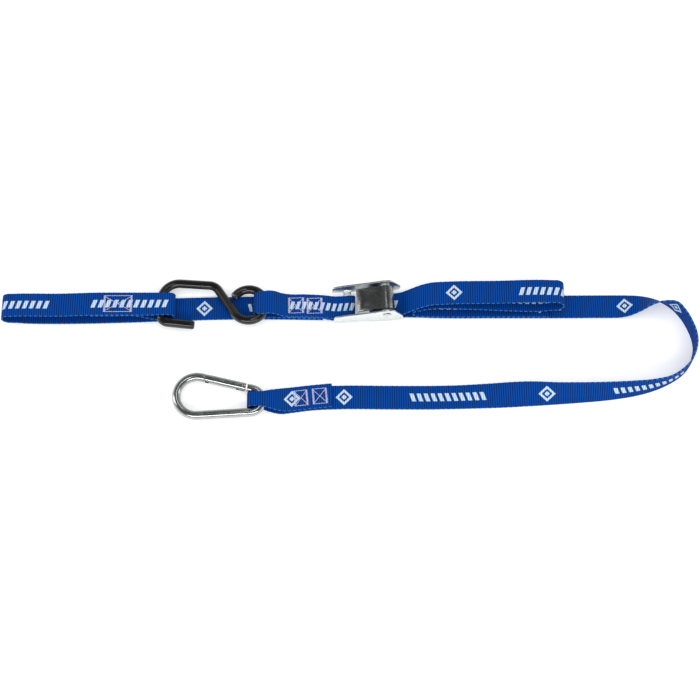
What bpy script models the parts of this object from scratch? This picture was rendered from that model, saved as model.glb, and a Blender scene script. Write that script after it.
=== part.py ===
"""Cam-buckle tie-down: webbing, soft tie, S-hook, cam buckle and spring-gate hook, laid out flat.

Lengths are written in millimetres and turned into metres by MM. +X runs from the soft tie to the
turn of the long strap, +Y points away from the reader, and +Z is up from the surface it lies on.
"""

import math

import bmesh
import bpy
from mathutils import Matrix, Vector

MM = 0.001
GAP = 0.3                 # clearance between pieces that touch on the real object

# Webbing
WEB_WIDTH = 25.4
WEB_THICK = 1.6
LAYER_PITCH = WEB_THICK + 0.5   # centre to centre of two sewn layers
FLOOR_LAYER = WEB_THICK / 2     # centre height of a layer that lies on the floor
WEB_STEP = 4.0                  # spacing of the stations along a strap
THREAD_THICK = 0.5
THREAD_LINE = 1.3               # width of one sewn line
TACK_LINE = 3.0                 # width of the dense tack at each end of a sewn box

# S-hook: a steel rod dipped in vinyl
ROD_DIAMETER = 7.4
COAT_OUTER = 9.2
EYE_RADIUS = (WEB_WIDTH + COAT_OUTER) / 2   # rod centre line; the eye just takes the webbing
HOOK_HEIGHT = 2 * LAYER_PITCH - 0.2 + GAP / 2 + COAT_OUTER / 2
EYE_X, EYE_Y = -104.2, 46.6

# Cam buckle
PLATE_THICK = 1.7
PLATE_GAP = WEB_WIDTH + 6.2     # clear width between the side plates
PIVOT_U = 19.0                  # pivot ahead of the buckle's middle
PIVOT_Z = 15.0
PIN_DIAMETER = 5.0
WASHER_DIAMETER = 12.0
CAM_RADIUS = 8.9
LEVER_WIDTH = WEB_WIDTH - 0.4
LEVER_REACH = 29.6
LEVER_THICK = 3.0
TEETH = 7                       # gripping teeth under the cam
TOOTH_ANGLE = 12.0
TOOTH_DEPTH = 0.9
FIRST_TOOTH = -62.0             # direction of the first tooth, seen from the pin
BUCKLE_LENGTH = 71.0
BUCKLE_X, BUCKLE_Y, BUCKLE_YAW = 18.0, 48.7, 3.5
STRAP_V = -1.9                  # the straps lie this far off the middle, against the near plate
BASE_THICK = 2.0
BASE_Z = WEB_THICK + GAP        # underside of the base, just above the load strand

# Spring-gate hook
WIRE_DIAMETER = 9.0
BIG_RADIUS = 20.6               # wire centre line at the wide end
SMALL_RADIUS = 12.6             # wire centre line at the narrow end
CENTRES_APART = 53.9
SNAP_X, SNAP_Y, SNAP_YAW = -154.6, -52.7, -5.0
SNAP_HEIGHT = WEB_THICK + GAP + 0.1 + WIRE_DIAMETER / 2
GATE_NOSE_U = 6.0               # where the gate's nose meets the body, from the wide end's centre
GATE_PIVOT_U = 45.0
GATE_PIN_DIAMETER = 2.5
GATE_HEEL = 3.4                 # gate past its pin, short enough to turn clear of the body
TONGUE_THICK = 3.4
GATE_BORE = 5.0
PLUNGER_LENGTH = 5.0

ROUND_SIDES = 14


# ---------------------------------------------------------------- general helpers

def clear_scene():
    for old in list(bpy.data.objects):
        bpy.data.objects.remove(old, do_unlink=True)


def material(name, colour, roughness, metallic):
    made = bpy.data.materials.new(name)
    made.use_nodes = True
    shader = made.node_tree.nodes["Principled BSDF"]
    shader.inputs["Base Color"].default_value = (*colour, 1.0)
    shader.inputs["Roughness"].default_value = roughness
    shader.inputs["Metallic"].default_value = metallic
    return made


def group_frame(name, location, yaw=0.0, parent=None):
    """An empty that carries a group of pieces; location in millimetres, yaw in degrees."""
    frame = bpy.data.objects.new(name, None)
    bpy.context.scene.collection.objects.link(frame)
    frame.location = Vector(location) * MM
    frame.rotation_euler = (0.0, 0.0, math.radians(yaw))
    frame.parent = parent
    return frame


def finish(name, mesh_data, parent, finish_material, at=(0.0, 0.0, 0.0)):
    """Turns a bmesh in millimetres into a named, shaded object placed under its parent."""
    bmesh.ops.recalc_face_normals(mesh_data, faces=mesh_data.faces)
    bmesh.ops.scale(mesh_data, vec=(MM, MM, MM), verts=mesh_data.verts)
    mesh = bpy.data.meshes.new(name)
    mesh_data.to_mesh(mesh)
    mesh_data.free()
    mesh.shade_smooth()
    mesh.set_sharp_from_angle(angle=math.radians(35))
    made = bpy.data.objects.new(name, mesh)
    bpy.context.scene.collection.objects.link(made)
    made.location = Vector(at) * MM
    made.parent = parent
    if finish_material:
        mesh.materials.append(finish_material)
    return made


def combine(target, other, operation):
    """Adds or cuts a helper shape; the helper stays in the file as a hidden guide."""
    step = target.modifiers.new(operation.lower(), "BOOLEAN")
    step.operation = operation
    step.solver = "EXACT"
    step.object = other
    other.hide_render = True
    other.display_type = "WIRE"


def add_box(shape, low, high):
    """A box between two corners, added to a bmesh."""
    size = Vector(high) - Vector(low)
    middle = (Vector(high) + Vector(low)) / 2
    matrix = Matrix.Translation(middle) @ Matrix.Diagonal((*size, 1.0))
    return bmesh.ops.create_cube(shape, size=1.0, matrix=matrix)["verts"]


def add_cylinder(shape, start, end, radius, sides=24):
    """A closed cylinder between two points, added to a bmesh."""
    run = Vector(end) - Vector(start)
    turn = run.to_track_quat("Z", "Y").to_matrix().to_4x4()
    middle = Matrix.Translation((Vector(start) + Vector(end)) / 2)
    bmesh.ops.create_cone(shape, cap_ends=True, segments=sides, radius1=radius, radius2=radius,
                          depth=run.length, matrix=middle @ turn)


def add_prism(shape, outline, low, high, place):
    """An outline of (a, b) points extruded from low to high; place(a, b, c) gives the 3-D point."""
    bottom = [shape.verts.new(place(a, b, low)) for a, b in outline]
    top = [shape.verts.new(place(a, b, high)) for a, b in outline]
    shape.faces.new(bottom)
    shape.faces.new(top)
    for index in range(len(outline)):
        after = (index + 1) % len(outline)
        shape.faces.new((bottom[index], bottom[after], top[after], top[index]))


def around(centre, radius, angle):
    """One point on a circle in a plane, at an angle in degrees."""
    turned = math.radians(angle)
    return (centre[0] + radius * math.cos(turned), centre[1] + radius * math.sin(turned))


def arc(centre, radius, start, end, steps):
    """Points on an arc in a plane, from start to end in degrees."""
    points = []
    for index in range(steps + 1):
        angle = start + (end - start) * index / steps
        points.append(around(centre, radius, angle))
    return points


def smooth_run(rows, step):
    """A smooth curve through rows of numbers whose first three are a point, sampled by length."""
    last = len(rows) - 1
    spans = [(Vector(rows[i + 1][:3]) - Vector(rows[i][:3])).length for i in range(last)]
    slopes = [[(b - a) / spans[i] for a, b in zip(rows[i], rows[i + 1])] for i in range(last)]
    tangents = [slopes[0]]
    for index in range(1, last):
        before, after = spans[index - 1], spans[index]
        tangents.append([(p * after + q * before) / (before + after)
                         for p, q in zip(slopes[index - 1], slopes[index])])
    tangents.append(slopes[-1])
    fine = []
    for index, span in enumerate(spans):
        count = max(1, round(span / step))
        for part in range(count):
            t = part / count
            keep, gain = 2 * t ** 3 - 3 * t ** 2 + 1, 3 * t ** 2 - 2 * t ** 3
            out, back = span * (t ** 3 - 2 * t ** 2 + t), span * (t ** 3 - t ** 2)
            fine.append([a * keep + b * gain + m * out + n * back for a, b, m, n in
                         zip(rows[index], rows[index + 1], tangents[index], tangents[index + 1])])
    fine.append(list(rows[-1]))
    return fine


def sweep(shape, path, radius, sides=ROUND_SIDES, caps=True):
    """A round bar along a path; returns its rings so that a caller can join them to others."""
    rings = []
    normal = None
    for index, point in enumerate(path):
        before = path[max(index - 1, 0)]
        after = path[min(index + 1, len(path) - 1)]
        tangent = (Vector(after) - Vector(before)).normalized()
        if normal is None:
            normal = tangent.orthogonal()
            if abs(tangent.z) < 0.9:
                normal = Vector((0, 0, 1))
        normal = (normal - tangent * normal.dot(tangent)).normalized()
        side = tangent.cross(normal)
        ring = []
        for corner in range(sides):
            angle = 2 * math.pi * (corner + 0.5) / sides
            offset = normal * math.cos(angle) + side * math.sin(angle)
            ring.append(shape.verts.new(Vector(point) + offset * radius))
        rings.append(ring)
    for first, second in zip(rings, rings[1:]):
        for corner in range(sides):
            after = (corner + 1) % sides
            shape.faces.new((first[corner], first[after], second[after], second[corner]))
    if caps:
        shape.faces.new(rings[0])
        shape.faces.new(rings[-1])
    return rings


# ---------------------------------------------------------------- webbing

def ribbon(name, rows, parent, finish_material):
    """A flat strap. A row is x, y, z, the sideways direction (3 numbers) and the width."""
    shape = bmesh.new()
    stations = smooth_run(rows, WEB_STEP)
    previous = None
    for index, row in enumerate(stations):
        centre = Vector(row[:3])
        ahead = Vector(stations[min(index + 1, len(stations) - 1)][:3])
        behind = Vector(stations[max(index - 1, 0)][:3])
        tangent = (ahead - behind).normalized()
        sideways = Vector(row[3:6]).normalized()
        normal = tangent.cross(sideways).normalized()
        half = sideways * row[6] / 2
        lift = normal * WEB_THICK / 2
        ring = [shape.verts.new(centre + corner)
                for corner in (half + lift, lift - half, -half - lift, half - lift)]
        if previous is None:
            shape.faces.new(ring)
        else:
            for corner in range(4):
                after = (corner + 1) % 4
                shape.faces.new((previous[corner], previous[after], ring[after], ring[corner]))
        previous = ring
    shape.faces.new(previous)
    return finish(name, shape, parent, finish_material)


def flat_rows(points, sideways_y, width=WEB_WIDTH):
    """Rows for a strap that only bends up and down; a point may end with its own width."""
    return [(p[0], p[1], p[2], 0.0, sideways_y, 0.0, p[3] if len(p) > 3 else width) for p in points]


def on_edge_rows(points):
    """Rows for a strap that rolls up on one edge: x and y of the edge on the floor, lean in degrees."""
    rows = []
    for index, (x, y, lean) in enumerate(points):
        before = points[max(index - 1, 0)]
        after = points[min(index + 1, len(points) - 1)]
        run = Vector((after[0] - before[0], after[1] - before[1], 0.0)).normalized()
        inward = Vector((-run.y, run.x, 0.0))
        angle = math.radians(lean)
        sideways = inward * math.cos(angle) + Vector((0, 0, math.sin(angle)))
        centre = Vector((x, y, FLOOR_LAYER * math.cos(angle))) + sideways * WEB_WIDTH / 2
        rows.append((*centre, *sideways, WEB_WIDTH))
    return rows


def on_buckle(u, z, v=STRAP_V):
    """A point of a strap given in the buckle's own frame, in layout coordinates."""
    yaw = math.radians(BUCKLE_YAW)
    x = BUCKLE_X + u * math.cos(yaw) - v * math.sin(yaw)
    y = BUCKLE_Y + u * math.sin(yaw) + v * math.cos(yaw)
    return (x, y, z)


def fold(x, y, low, high, way, reach, y_high=None):
    """Points of a fold between two layer heights, its tip at x; way is +1 when the tip points to +X."""
    middle = (low + high) / 2
    radius = (high - low) / 2
    y_high = y if y_high is None else y_high
    points = [(x - way * (reach + 2.0), y, low)]
    for angle in range(-90, 91, 30):
        points.append((x - way * reach * (1 - math.cos(math.radians(angle))),
                       y + (y_high - y) * (angle + 90) / 180,
                       middle + radius * math.sin(math.radians(angle))))
    points.append((x - way * (reach + 2.0), y_high, high))
    return points


def build_main_strap(parent, finish_material):
    """The long strap: sewn loop, floor run, turn on edge, way through the buckle, folded tail."""
    over = FLOOR_LAYER + LAYER_PITCH
    top = SNAP_HEIGHT + WIRE_DIAMETER / 2 + GAP + WEB_THICK / 2
    pinch = 2 * (SMALL_RADIUS - WIRE_DIAMETER / 2) - 0.6
    loop_x = SNAP_X + CENTRES_APART * math.cos(math.radians(SNAP_YAW)) - 2.2
    loop_y = SNAP_Y + CENTRES_APART * math.sin(math.radians(SNAP_YAW)) + 0.1
    loop = [(-18.5, -50.3, over), (-40.0, -52.5, over), (-58.0, -54.6, over),
            (-70.0, -56.2, 0.45 * top, 24.0), (-81.0, loop_y + 0.3, 0.84 * top, 19.5),
            (-89.0, loop_y, top, pinch)]
    turn = [(*p, pinch) for p in reversed(fold(loop_x, loop_y, FLOOR_LAYER, top, -1, 5.6))]
    back = [(-89.0, loop_y, FLOOR_LAYER, pinch), (-81.0, loop_y - 0.6, FLOOR_LAYER, 19.5),
            (-70.0, -58.0, FLOOR_LAYER, 24.0), (-58.0, -56.0, FLOOR_LAYER),
            (-40.0, -53.6, FLOOR_LAYER), (-10.0, -52.1, FLOOR_LAYER), (40.0, -52.3, FLOOR_LAYER)]
    bend = [(81.0, -65.0, 0), (100.0, -64.7, 0), (140.0, -63.6, 7), (182.0, -61.4, 30), (212.2, -59.2, 50),
            (234.5, -57.4, 57), (267.1, -53.9, 66), (289.6, -49.8, 74), (306.2, -45.0, 82),
            (323.4, -37.3, 90), (336.5, -28.6, 90), (344.9, -19.0, 90), (349.6, -8.4, 90),
            (351.5, 1.1, 90), (350.6, 12.0, 90), (347.2, 22.9, 90), (342.0, 33.7, 90),
            (334.8, 43.5, 88), (325.2, 51.5, 70), (315.2, 56.2, 54), (302.9, 59.3, 32),
            (289.5, 60.5, 12), (279.0, 60.7, 2),
            (270.0, 60.7, 0), (261.0, 60.7, 0), (230.0, 60.5, 0)]
    base_left = PIVOT_U - 14.0
    strand = [(150.0, 47.7, FLOOR_LAYER), (90.0, 47.8, FLOOR_LAYER), (66.0, 48.6, FLOOR_LAYER),
              on_buckle(30.0, FLOOR_LAYER), on_buckle(12.0, FLOOR_LAYER)]
    over_base = BASE_Z + BASE_THICK + GAP + WEB_THICK / 2
    radius = (over_base - FLOOR_LAYER) / 2
    wrap = [on_buckle(base_left - (radius + 0.3) * math.cos(math.radians(angle)),
                      FLOOR_LAYER + radius + radius * math.sin(math.radians(angle)))
            for angle in (-90, -45, 0, 45, 90)]
    out = [on_buckle(12.0, over_base), on_buckle(28.0, over_base), on_buckle(34.0, over_base + 1.0)]
    tail = [(60.0, 49.6, 11.4), (66.0, 50.6, 15.0), (73.0, 51.8, 18.6), (83.0, 53.2, 21.4),
            (98.0, 54.0, 22.0), (150.0, 55.0, 22.0), (198.0, 56.0, 22.3)]
    right_fold = list(reversed(fold(219.3, 53.0, 8.6, 22.0, 1, 6.6, 55.8)))
    second = [(195.0, 51.8, 8.4), (165.0, 51.4, 10.6), (120.0, 52.6, 12.2), (88.0, 53.4, 11.6),
              (76.0, 52.6, 10.2)]
    left_fold = list(reversed(fold(64.8, 48.6, over, 9.0, -1, 4.0, 51.8)))
    third = [(80.0, 48.2, over), (140.0, 47.9, over), (205.0, 47.9, over)]
    rows = flat_rows(loop + turn + back, 1.0)
    rows += on_edge_rows(bend)
    rows += flat_rows(strand + wrap + out + tail + right_fold + second + left_fold + third, -1.0)
    return ribbon("main_strap", rows, parent, finish_material)


def build_anchor_strap(parent, finish_material):
    """The short strap: from the cross bar of the buckle round the eye of the S-hook and back."""
    low = FLOOR_LAYER + LAYER_PITCH
    middle = low + LAYER_PITCH
    high = middle + LAYER_PITCH
    over_hook = HOOK_HEIGHT + COAT_OUTER / 2 + GAP + WEB_THICK / 2
    bar_low = FLOOR_LAYER + 0.2
    bar_high = bar_low + WEB_THICK + BASE_THICK + 2 * GAP
    bar = [on_buckle(-16.0 + 2.6 * math.cos(math.radians(angle)),
                     (bar_low + bar_high) / 2 + (bar_high - bar_low) / 2 * math.sin(math.radians(angle)))
           for angle in (-90, -45, 0, 45, 90)]
    points = [(-64.0, 46.8, middle), (-46.0, 46.4, middle), (-29.0, 45.6, middle),
              (-22.0, 45.0, (middle + bar_low) / 2), (-15.0, 44.8, bar_low), on_buckle(-24.0, bar_low)]
    points += bar
    points += [on_buckle(-24.0, bar_high), (-15.0, 44.8, bar_high + 0.3), (-27.0, 45.4, high),
               (-46.0, 46.4, high), (-65.0, 46.8, high), (-71.0, 47.0, 0.64 * over_hook),
               (-77.0, 47.3, 0.92 * over_hook), (-84.0, 47.5, over_hook + 0.2)]
    # The eye is no wider inside than the webbing, so the fold draws in where it dips into it.
    dip = EYE_X + 5.6
    inside = EYE_RADIUS - COAT_OUTER / 2
    tight = 2 * math.sqrt(inside ** 2 - (dip + WEB_THICK / 2 - EYE_X) ** 2) - 5 * GAP
    for spot in reversed(fold(dip, EYE_Y, low, over_hook, -1, 5.6)):
        depth = 1.0 - min(1.0, (spot[0] - dip) / 5.6)
        points.append((*spot, WEB_WIDTH + (tight - WEB_WIDTH) * depth))
    points += [(-80.0, 47.3, low), (-60.0, 46.9, low), (-32.0, 45.8, low)]
    return ribbon("anchor_strap", flat_rows(points, 1.0), parent, finish_material)


def build_soft_tie(parent, finish_material):
    """The soft tie: sewn under the anchor strap, round its far end and back to an eye on the hook."""
    under_rod = FLOOR_LAYER + LAYER_PITCH
    over_rod = HOOK_HEIGHT + COAT_OUTER / 2 + GAP + WEB_THICK / 2
    front = over_rod + 0.6
    flap = front - LAYER_PITCH
    points = [(-265.7, 44.7, flap), (-240.0, 44.9, flap), (-223.0, 45.0, flap),
              (-214.0, 45.0, 0.78 * flap), (-206.5, 45.0, 0.42 * flap), (-199.5, 45.0, under_rod)]
    points += [(*spot, 24.9) for spot in fold(-180.6, 45.4, under_rod, over_rod, 1, 5.6)]
    points += [(-204.0, 45.0, over_rod + 0.3), (-222.0, 44.9, front), (-262.0, 44.8, front),
               (-297.0, 43.7, front), (-340.0, 43.9, front - 0.3)]
    points += list(reversed(fold(-357.6, 42.6, FLOOR_LAYER, front - 0.6, -1, 6.4, 43.8)))
    points += [(-330.0, 41.6, FLOOR_LAYER), (-299.0, 41.3, FLOOR_LAYER), (-230.0, 42.7, FLOOR_LAYER),
               (-165.0, 45.2, FLOOR_LAYER), (-100.0, 46.4, FLOOR_LAYER), (-28.0, 45.6, FLOOR_LAYER)]
    return ribbon("soft_tie_strap", flat_rows(points, 1.0), parent, finish_material)


def sewn_box(name, middle, length, height, bottom, yaw, parent, finish_material):
    """One box-and-cross seam: a frame of thread with two diagonals and a dense tack at each end."""
    half_l, half_h = length / 2, height / 2
    rise = THREAD_THICK
    shape = bmesh.new()
    add_box(shape, (-half_l, -half_h, 0), (-half_l + TACK_LINE, half_h, rise))
    base = finish(name, shape, parent, finish_material, (*middle, bottom))
    base.rotation_euler = (0.0, 0.0, math.radians(yaw))
    bars = [((half_l - TACK_LINE, -half_h), (half_l, half_h)),
            ((-half_l + 0.1, half_h - THREAD_LINE), (half_l - 0.1, half_h - 0.1)),
            ((-half_l + 0.1, -half_h + 0.1), (half_l - 0.1, -half_h + THREAD_LINE))]
    for index, (low, high) in enumerate(bars):
        side = bmesh.new()
        add_box(side, (*low, 0.0), (*high, rise))
        combine(base, finish(f"{name}_side_{index}", side, base, None), "UNION")
    reach = math.hypot(length - TACK_LINE, height - THREAD_LINE) / 2
    lean = math.atan2(height - THREAD_LINE, length - TACK_LINE)
    for sign in (-1, 1):
        cross = bmesh.new()
        add_box(cross, (-reach, -THREAD_LINE / 2, 0.02), (reach, THREAD_LINE / 2, rise - 0.02))
        bmesh.ops.rotate(cross, cent=(0, 0, 0), verts=cross.verts,
                         matrix=Matrix.Rotation(sign * lean, 3, "Z"))
        combine(base, finish(f"{name}_cross_{sign + 1}", cross, base, None), "UNION")
    return base


# ---------------------------------------------------------------- S-hook

def hook_path():
    """Rod centre line from the tip, round the open bowl, down the shank and round the closed eye."""
    corners = [((-159.2, 23.8), 0), ((-195.4, 27.8), 9.0), ((-193.6, 71.6), 18.0),
               ((-139.2, 68.0), 12.0)]
    touch = math.radians(213)
    touch_point = (EYE_X + EYE_RADIUS * math.cos(touch), EYE_Y + EYE_RADIUS * math.sin(touch))
    points = [Vector(corners[0][0])]
    for index in range(1, len(corners)):
        corner, radius = corners[index]
        before = Vector(corners[index - 1][0]) - Vector(corner)
        after_point = corners[index + 1][0] if index + 1 < len(corners) else touch_point
        after = Vector(after_point) - Vector(corner)
        half = before.angle(after) / 2
        reach = radius / math.tan(half)
        inward = (before.normalized() + after.normalized()).normalized()
        centre = Vector(corner) + inward * radius / math.sin(half)
        start = Vector(corner) + before.normalized() * reach - centre
        end = Vector(corner) + after.normalized() * reach - centre
        swing = start.angle_signed(end)
        for part in range(7):
            turned = start.copy()
            turned.rotate(Matrix.Rotation(-swing * part / 6, 2))
            points.append(centre + turned)
    for x, y in arc((EYE_X, EYE_Y), EYE_RADIUS, 213, 213 + 298, 26):
        points.append(Vector((x, y)))
    return [Vector((p.x - EYE_X, p.y - EYE_Y, 0.0)) for p in points]


def trimmed(path, start_cut, end_cut):
    """The path with its first and last points pulled in along it."""
    path = [p.copy() for p in path]
    path[0] += (path[1] - path[0]).normalized() * start_cut
    path[-1] += (path[-2] - path[-1]).normalized() * end_cut
    return path


def build_hook(parent, rod_material, coat_material):
    """The steel rod and its vinyl coat, a sleeve that is closed at the tip and open at the eye."""
    path = hook_path()
    wall = COAT_OUTER / 2 - ROD_DIAMETER / 2 - GAP
    core = bmesh.new()
    sweep(core, trimmed(path, wall + GAP, 0.0), ROD_DIAMETER / 2)
    finish("s_hook_rod", core, parent, rod_material)
    coat = bmesh.new()
    outer = sweep(coat, trimmed(path, 0.0, 1.2), COAT_OUTER / 2, caps=False)
    inner = sweep(coat, trimmed(path, wall, 1.2), ROD_DIAMETER / 2 + GAP, caps=False)
    coat.faces.new(outer[0])
    coat.faces.new(inner[0])
    for corner in range(ROUND_SIDES):
        after = (corner + 1) % ROUND_SIDES
        coat.faces.new((outer[-1][corner], outer[-1][after], inner[-1][after], inner[-1][corner]))
    finish("s_hook_coating", coat, parent, coat_material)


# ---------------------------------------------------------------- cam buckle

def build_buckle_frame(parent, finish_material):
    """One folded stamping: two side plates, the cross bar of the anchor and the base under the cam."""
    half = BUCKLE_LENGTH / 2
    outline = [(-half, 3.4), (PIVOT_U - 18.0, 2.6), (PIVOT_U - 16.0, 0.4), (PIVOT_U + 6.0, 0.4)]
    outline += arc((half - 7.5, 8.4), 7.5, -50, 30, 4)
    outline += arc((PIVOT_U + 1.0, PIVOT_Z - 1.0), 11.0, 42, 98, 6)
    outline += [(PIVOT_U - 18.0, 21.2), (-half + 13.0, 17.4)]
    outline += arc((-half + 3.5, 11.2), 3.5, 108, 180, 3)
    shape = bmesh.new()
    add_prism(shape, outline, PLATE_GAP / 2, PLATE_GAP / 2 + PLATE_THICK, lambda a, b, c: (a, c, b))
    frame = finish("buckle_frame", shape, parent, finish_material)
    far = bmesh.new()
    add_prism(far, outline, -PLATE_GAP / 2 - PLATE_THICK, -PLATE_GAP / 2, lambda a, b, c: (a, c, b))
    combine(frame, finish("frame_far_plate", far, parent, None), "UNION")
    reach = PLATE_GAP / 2 + PLATE_THICK / 2
    base = bmesh.new()
    add_box(base, (PIVOT_U - 13.7, -reach, BASE_Z), (PIVOT_U + 9.0, reach, BASE_Z + BASE_THICK))
    combine(frame, finish("frame_base", base, parent, None), "UNION")
    bar_z = FLOOR_LAYER + 0.2 + WEB_THICK / 2 + GAP
    bar = bmesh.new()
    add_box(bar, (-24.0, -reach, bar_z), (-16.0, reach, bar_z + BASE_THICK))
    combine(frame, finish("frame_cross_bar", bar, parent, None), "UNION")
    hole = bmesh.new()
    add_cylinder(hole, (PIVOT_U, -40.0, PIVOT_Z), (PIVOT_U, 40.0, PIVOT_Z), PIN_DIAMETER / 2 + GAP)
    combine(frame, finish("frame_pin_hole", hole, parent, None), "DIFFERENCE")
    return frame


def build_cam_lever(parent, finish_material):
    """The cam and its thumb plate in one piece, drawn about the pin."""
    tip = (-LEVER_REACH, 1.6)
    neck = (-13.0, 6.6)
    root = CAM_RADIUS - TOOTH_DEPTH
    outline = [(tip[0], tip[1] - LEVER_THICK + 0.8), (tip[0] - 0.6, tip[1] - 0.6),
               (tip[0] + 0.6, tip[1] + 0.6), (neck[0], neck[1])]
    outline += arc((0.0, 0.0), CAM_RADIUS - 0.5, 122, -58, 14)
    for index in range(TEETH):
        angle = FIRST_TOOTH - index * TOOTH_ANGLE
        outline.append(around((0.0, 0.0), CAM_RADIUS, angle))
        outline.append(around((0.0, 0.0), root, angle - 0.6 * TOOTH_ANGLE))
    outline += arc((0.0, 0.0), root, 205, 190, 2)
    outline.append((neck[0], neck[1] - LEVER_THICK))
    shape = bmesh.new()
    add_prism(shape, outline, -LEVER_WIDTH / 2, LEVER_WIDTH / 2, lambda a, b, c: (a, c, b))
    lever = finish("cam_lever", shape, parent, finish_material)
    bore = bmesh.new()
    add_cylinder(bore, (0, -20, 0), (0, 20, 0), PIN_DIAMETER / 2 + GAP)
    combine(lever, finish("lever_bore", bore, parent, None), "DIFFERENCE")
    room = bmesh.new()
    add_cylinder(room, (0, -4.6, 0), (0, 4.6, 0), 5.6)
    combine(lever, finish("lever_spring_room", room, parent, None), "DIFFERENCE")
    mouth = bmesh.new()
    add_box(mouth, (-12.0, -4.55, -5.0), (-1.0, 4.55, 0.6))
    combine(lever, finish("lever_spring_mouth", mouth, parent, None), "DIFFERENCE")
    slope = math.atan2(neck[1] - tip[1], neck[0] - tip[0])
    dish = bmesh.new()
    add_box(dish, (-7.8, -LEVER_WIDTH / 2 + 4.6, -1.1), (7.8, LEVER_WIDTH / 2 - 4.6, 3.0))
    bmesh.ops.rotate(dish, cent=(0, 0, 0), verts=dish.verts, matrix=Matrix.Rotation(-slope, 3, "Y"))
    middle = (neck[0] - 3.0, 0.0, neck[1] - 3.0 * math.tan(slope))
    combine(lever, finish("lever_dish", dish, parent, None, middle), "DIFFERENCE")
    return lever


def build_pin(parent, finish_material):
    """The rivet that the cam turns on, with a formed head outside each plate."""
    reach = PLATE_GAP / 2 + PLATE_THICK + GAP
    head = 1.4
    outline = [(-reach - head, 0.0), (-reach - head, 2.6), (-reach - 0.5, 4.3), (-reach, 4.3),
               (-reach, PIN_DIAMETER / 2)]
    outline += [(-a, b) for a, b in reversed(outline)]
    shape = bmesh.new()
    points = [shape.verts.new((0.0, a, b)) for a, b in outline]
    edges = [shape.edges.new(pair) for pair in zip(points, points[1:])]
    bmesh.ops.spin(shape, geom=points + edges, cent=(0, 0, 0), axis=(0, 1, 0), angle=math.tau,
                   steps=28, use_merge=True)
    bmesh.ops.remove_doubles(shape, verts=shape.verts, dist=0.001)
    return finish("cam_pivot_pin", shape, parent, finish_material, (PIVOT_U, 0.0, PIVOT_Z))


def build_washer(name, side, parent, finish_material):
    """A thin spacer on the pin, in the gap between the lever and one plate."""
    room = (PLATE_GAP - LEVER_WIDTH) / 2
    middle = side * (LEVER_WIDTH + PLATE_GAP) / 4
    half = room / 2 - GAP
    shape = bmesh.new()
    add_cylinder(shape, (0, -half, 0), (0, half, 0), WASHER_DIAMETER / 2, sides=28)
    washer = finish(name, shape, parent, finish_material, (PIVOT_U, middle, PIVOT_Z))
    hole = bmesh.new()
    add_cylinder(hole, (0, -3.0, 0), (0, 3.0, 0), PIN_DIAMETER / 2 + GAP)
    combine(washer, finish(name + "_hole", hole, parent, None, (PIVOT_U, middle, PIVOT_Z)), "DIFFERENCE")
    return washer


def build_cam_spring(parent, finish_material):
    """A torsion spring round the pin, its legs tucked into the lever."""
    turns, wire, radius = 4, 1.2, 4.3
    path = []
    count = turns * 16
    for index in range(count + 1):
        angle = math.radians(200) + math.tau * turns * index / count
        x, z = radius * math.cos(angle), radius * math.sin(angle)
        path.append(Vector((x, -3.2 + 6.4 * index / count, z)))
    path.insert(0, path[0] + Vector((-4.6, -0.2, 1.2)))
    path.append(path[-1] + Vector((-4.6, 0.2, -0.4)))
    shape = bmesh.new()
    sweep(shape, path, wire / 2, sides=8)
    return finish("cam_spring", shape, parent, finish_material)


# ---------------------------------------------------------------- spring-gate hook

def arm_point(u):
    """A point of the gate arm's centre line in the hook's frame, u along the hook."""
    lean = math.asin((BIG_RADIUS - SMALL_RADIUS) / CENTRES_APART)
    start = (BIG_RADIUS * math.sin(lean), BIG_RADIUS * math.cos(lean))
    return Vector((u, start[1] - (u - start[0]) * math.tan(lean), 0.0))


def snap_path():
    """Body centre line from the nose, round the wide end, along the back and round the small end."""
    lean = math.degrees(math.asin((BIG_RADIUS - SMALL_RADIUS) / CENTRES_APART))
    points = [arm_point(GATE_NOSE_U)]
    points += [Vector((x, y, 0)) for x, y in arc((0, 0), BIG_RADIUS, 90 - lean, 270 + lean, 26)]
    points += [Vector((x, y, 0))
               for x, y in arc((CENTRES_APART, 0), SMALL_RADIUS, -90 + lean, 90 - lean, 18)]
    points += [arm_point(GATE_PIVOT_U + 5.0)]
    return points


def arm_box(shape, u_low, u_high, half_side, z_low, z_high, off=0.0):
    """A box along the gate arm, from u_low to u_high; half_side is measured across the arm."""
    lean = math.asin((BIG_RADIUS - SMALL_RADIUS) / CENTRES_APART)
    verts = add_box(shape, (u_low, off - half_side, z_low), (u_high, off + half_side, z_high))
    pivot = arm_point(0.0)
    for vert in verts:
        along = vert.co.x / math.cos(lean)
        across = vert.co.y
        vert.co.x = along * math.cos(lean) + across * math.sin(lean)
        vert.co.y = pivot.y - along * math.sin(lean) + across * math.cos(lean)


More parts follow.
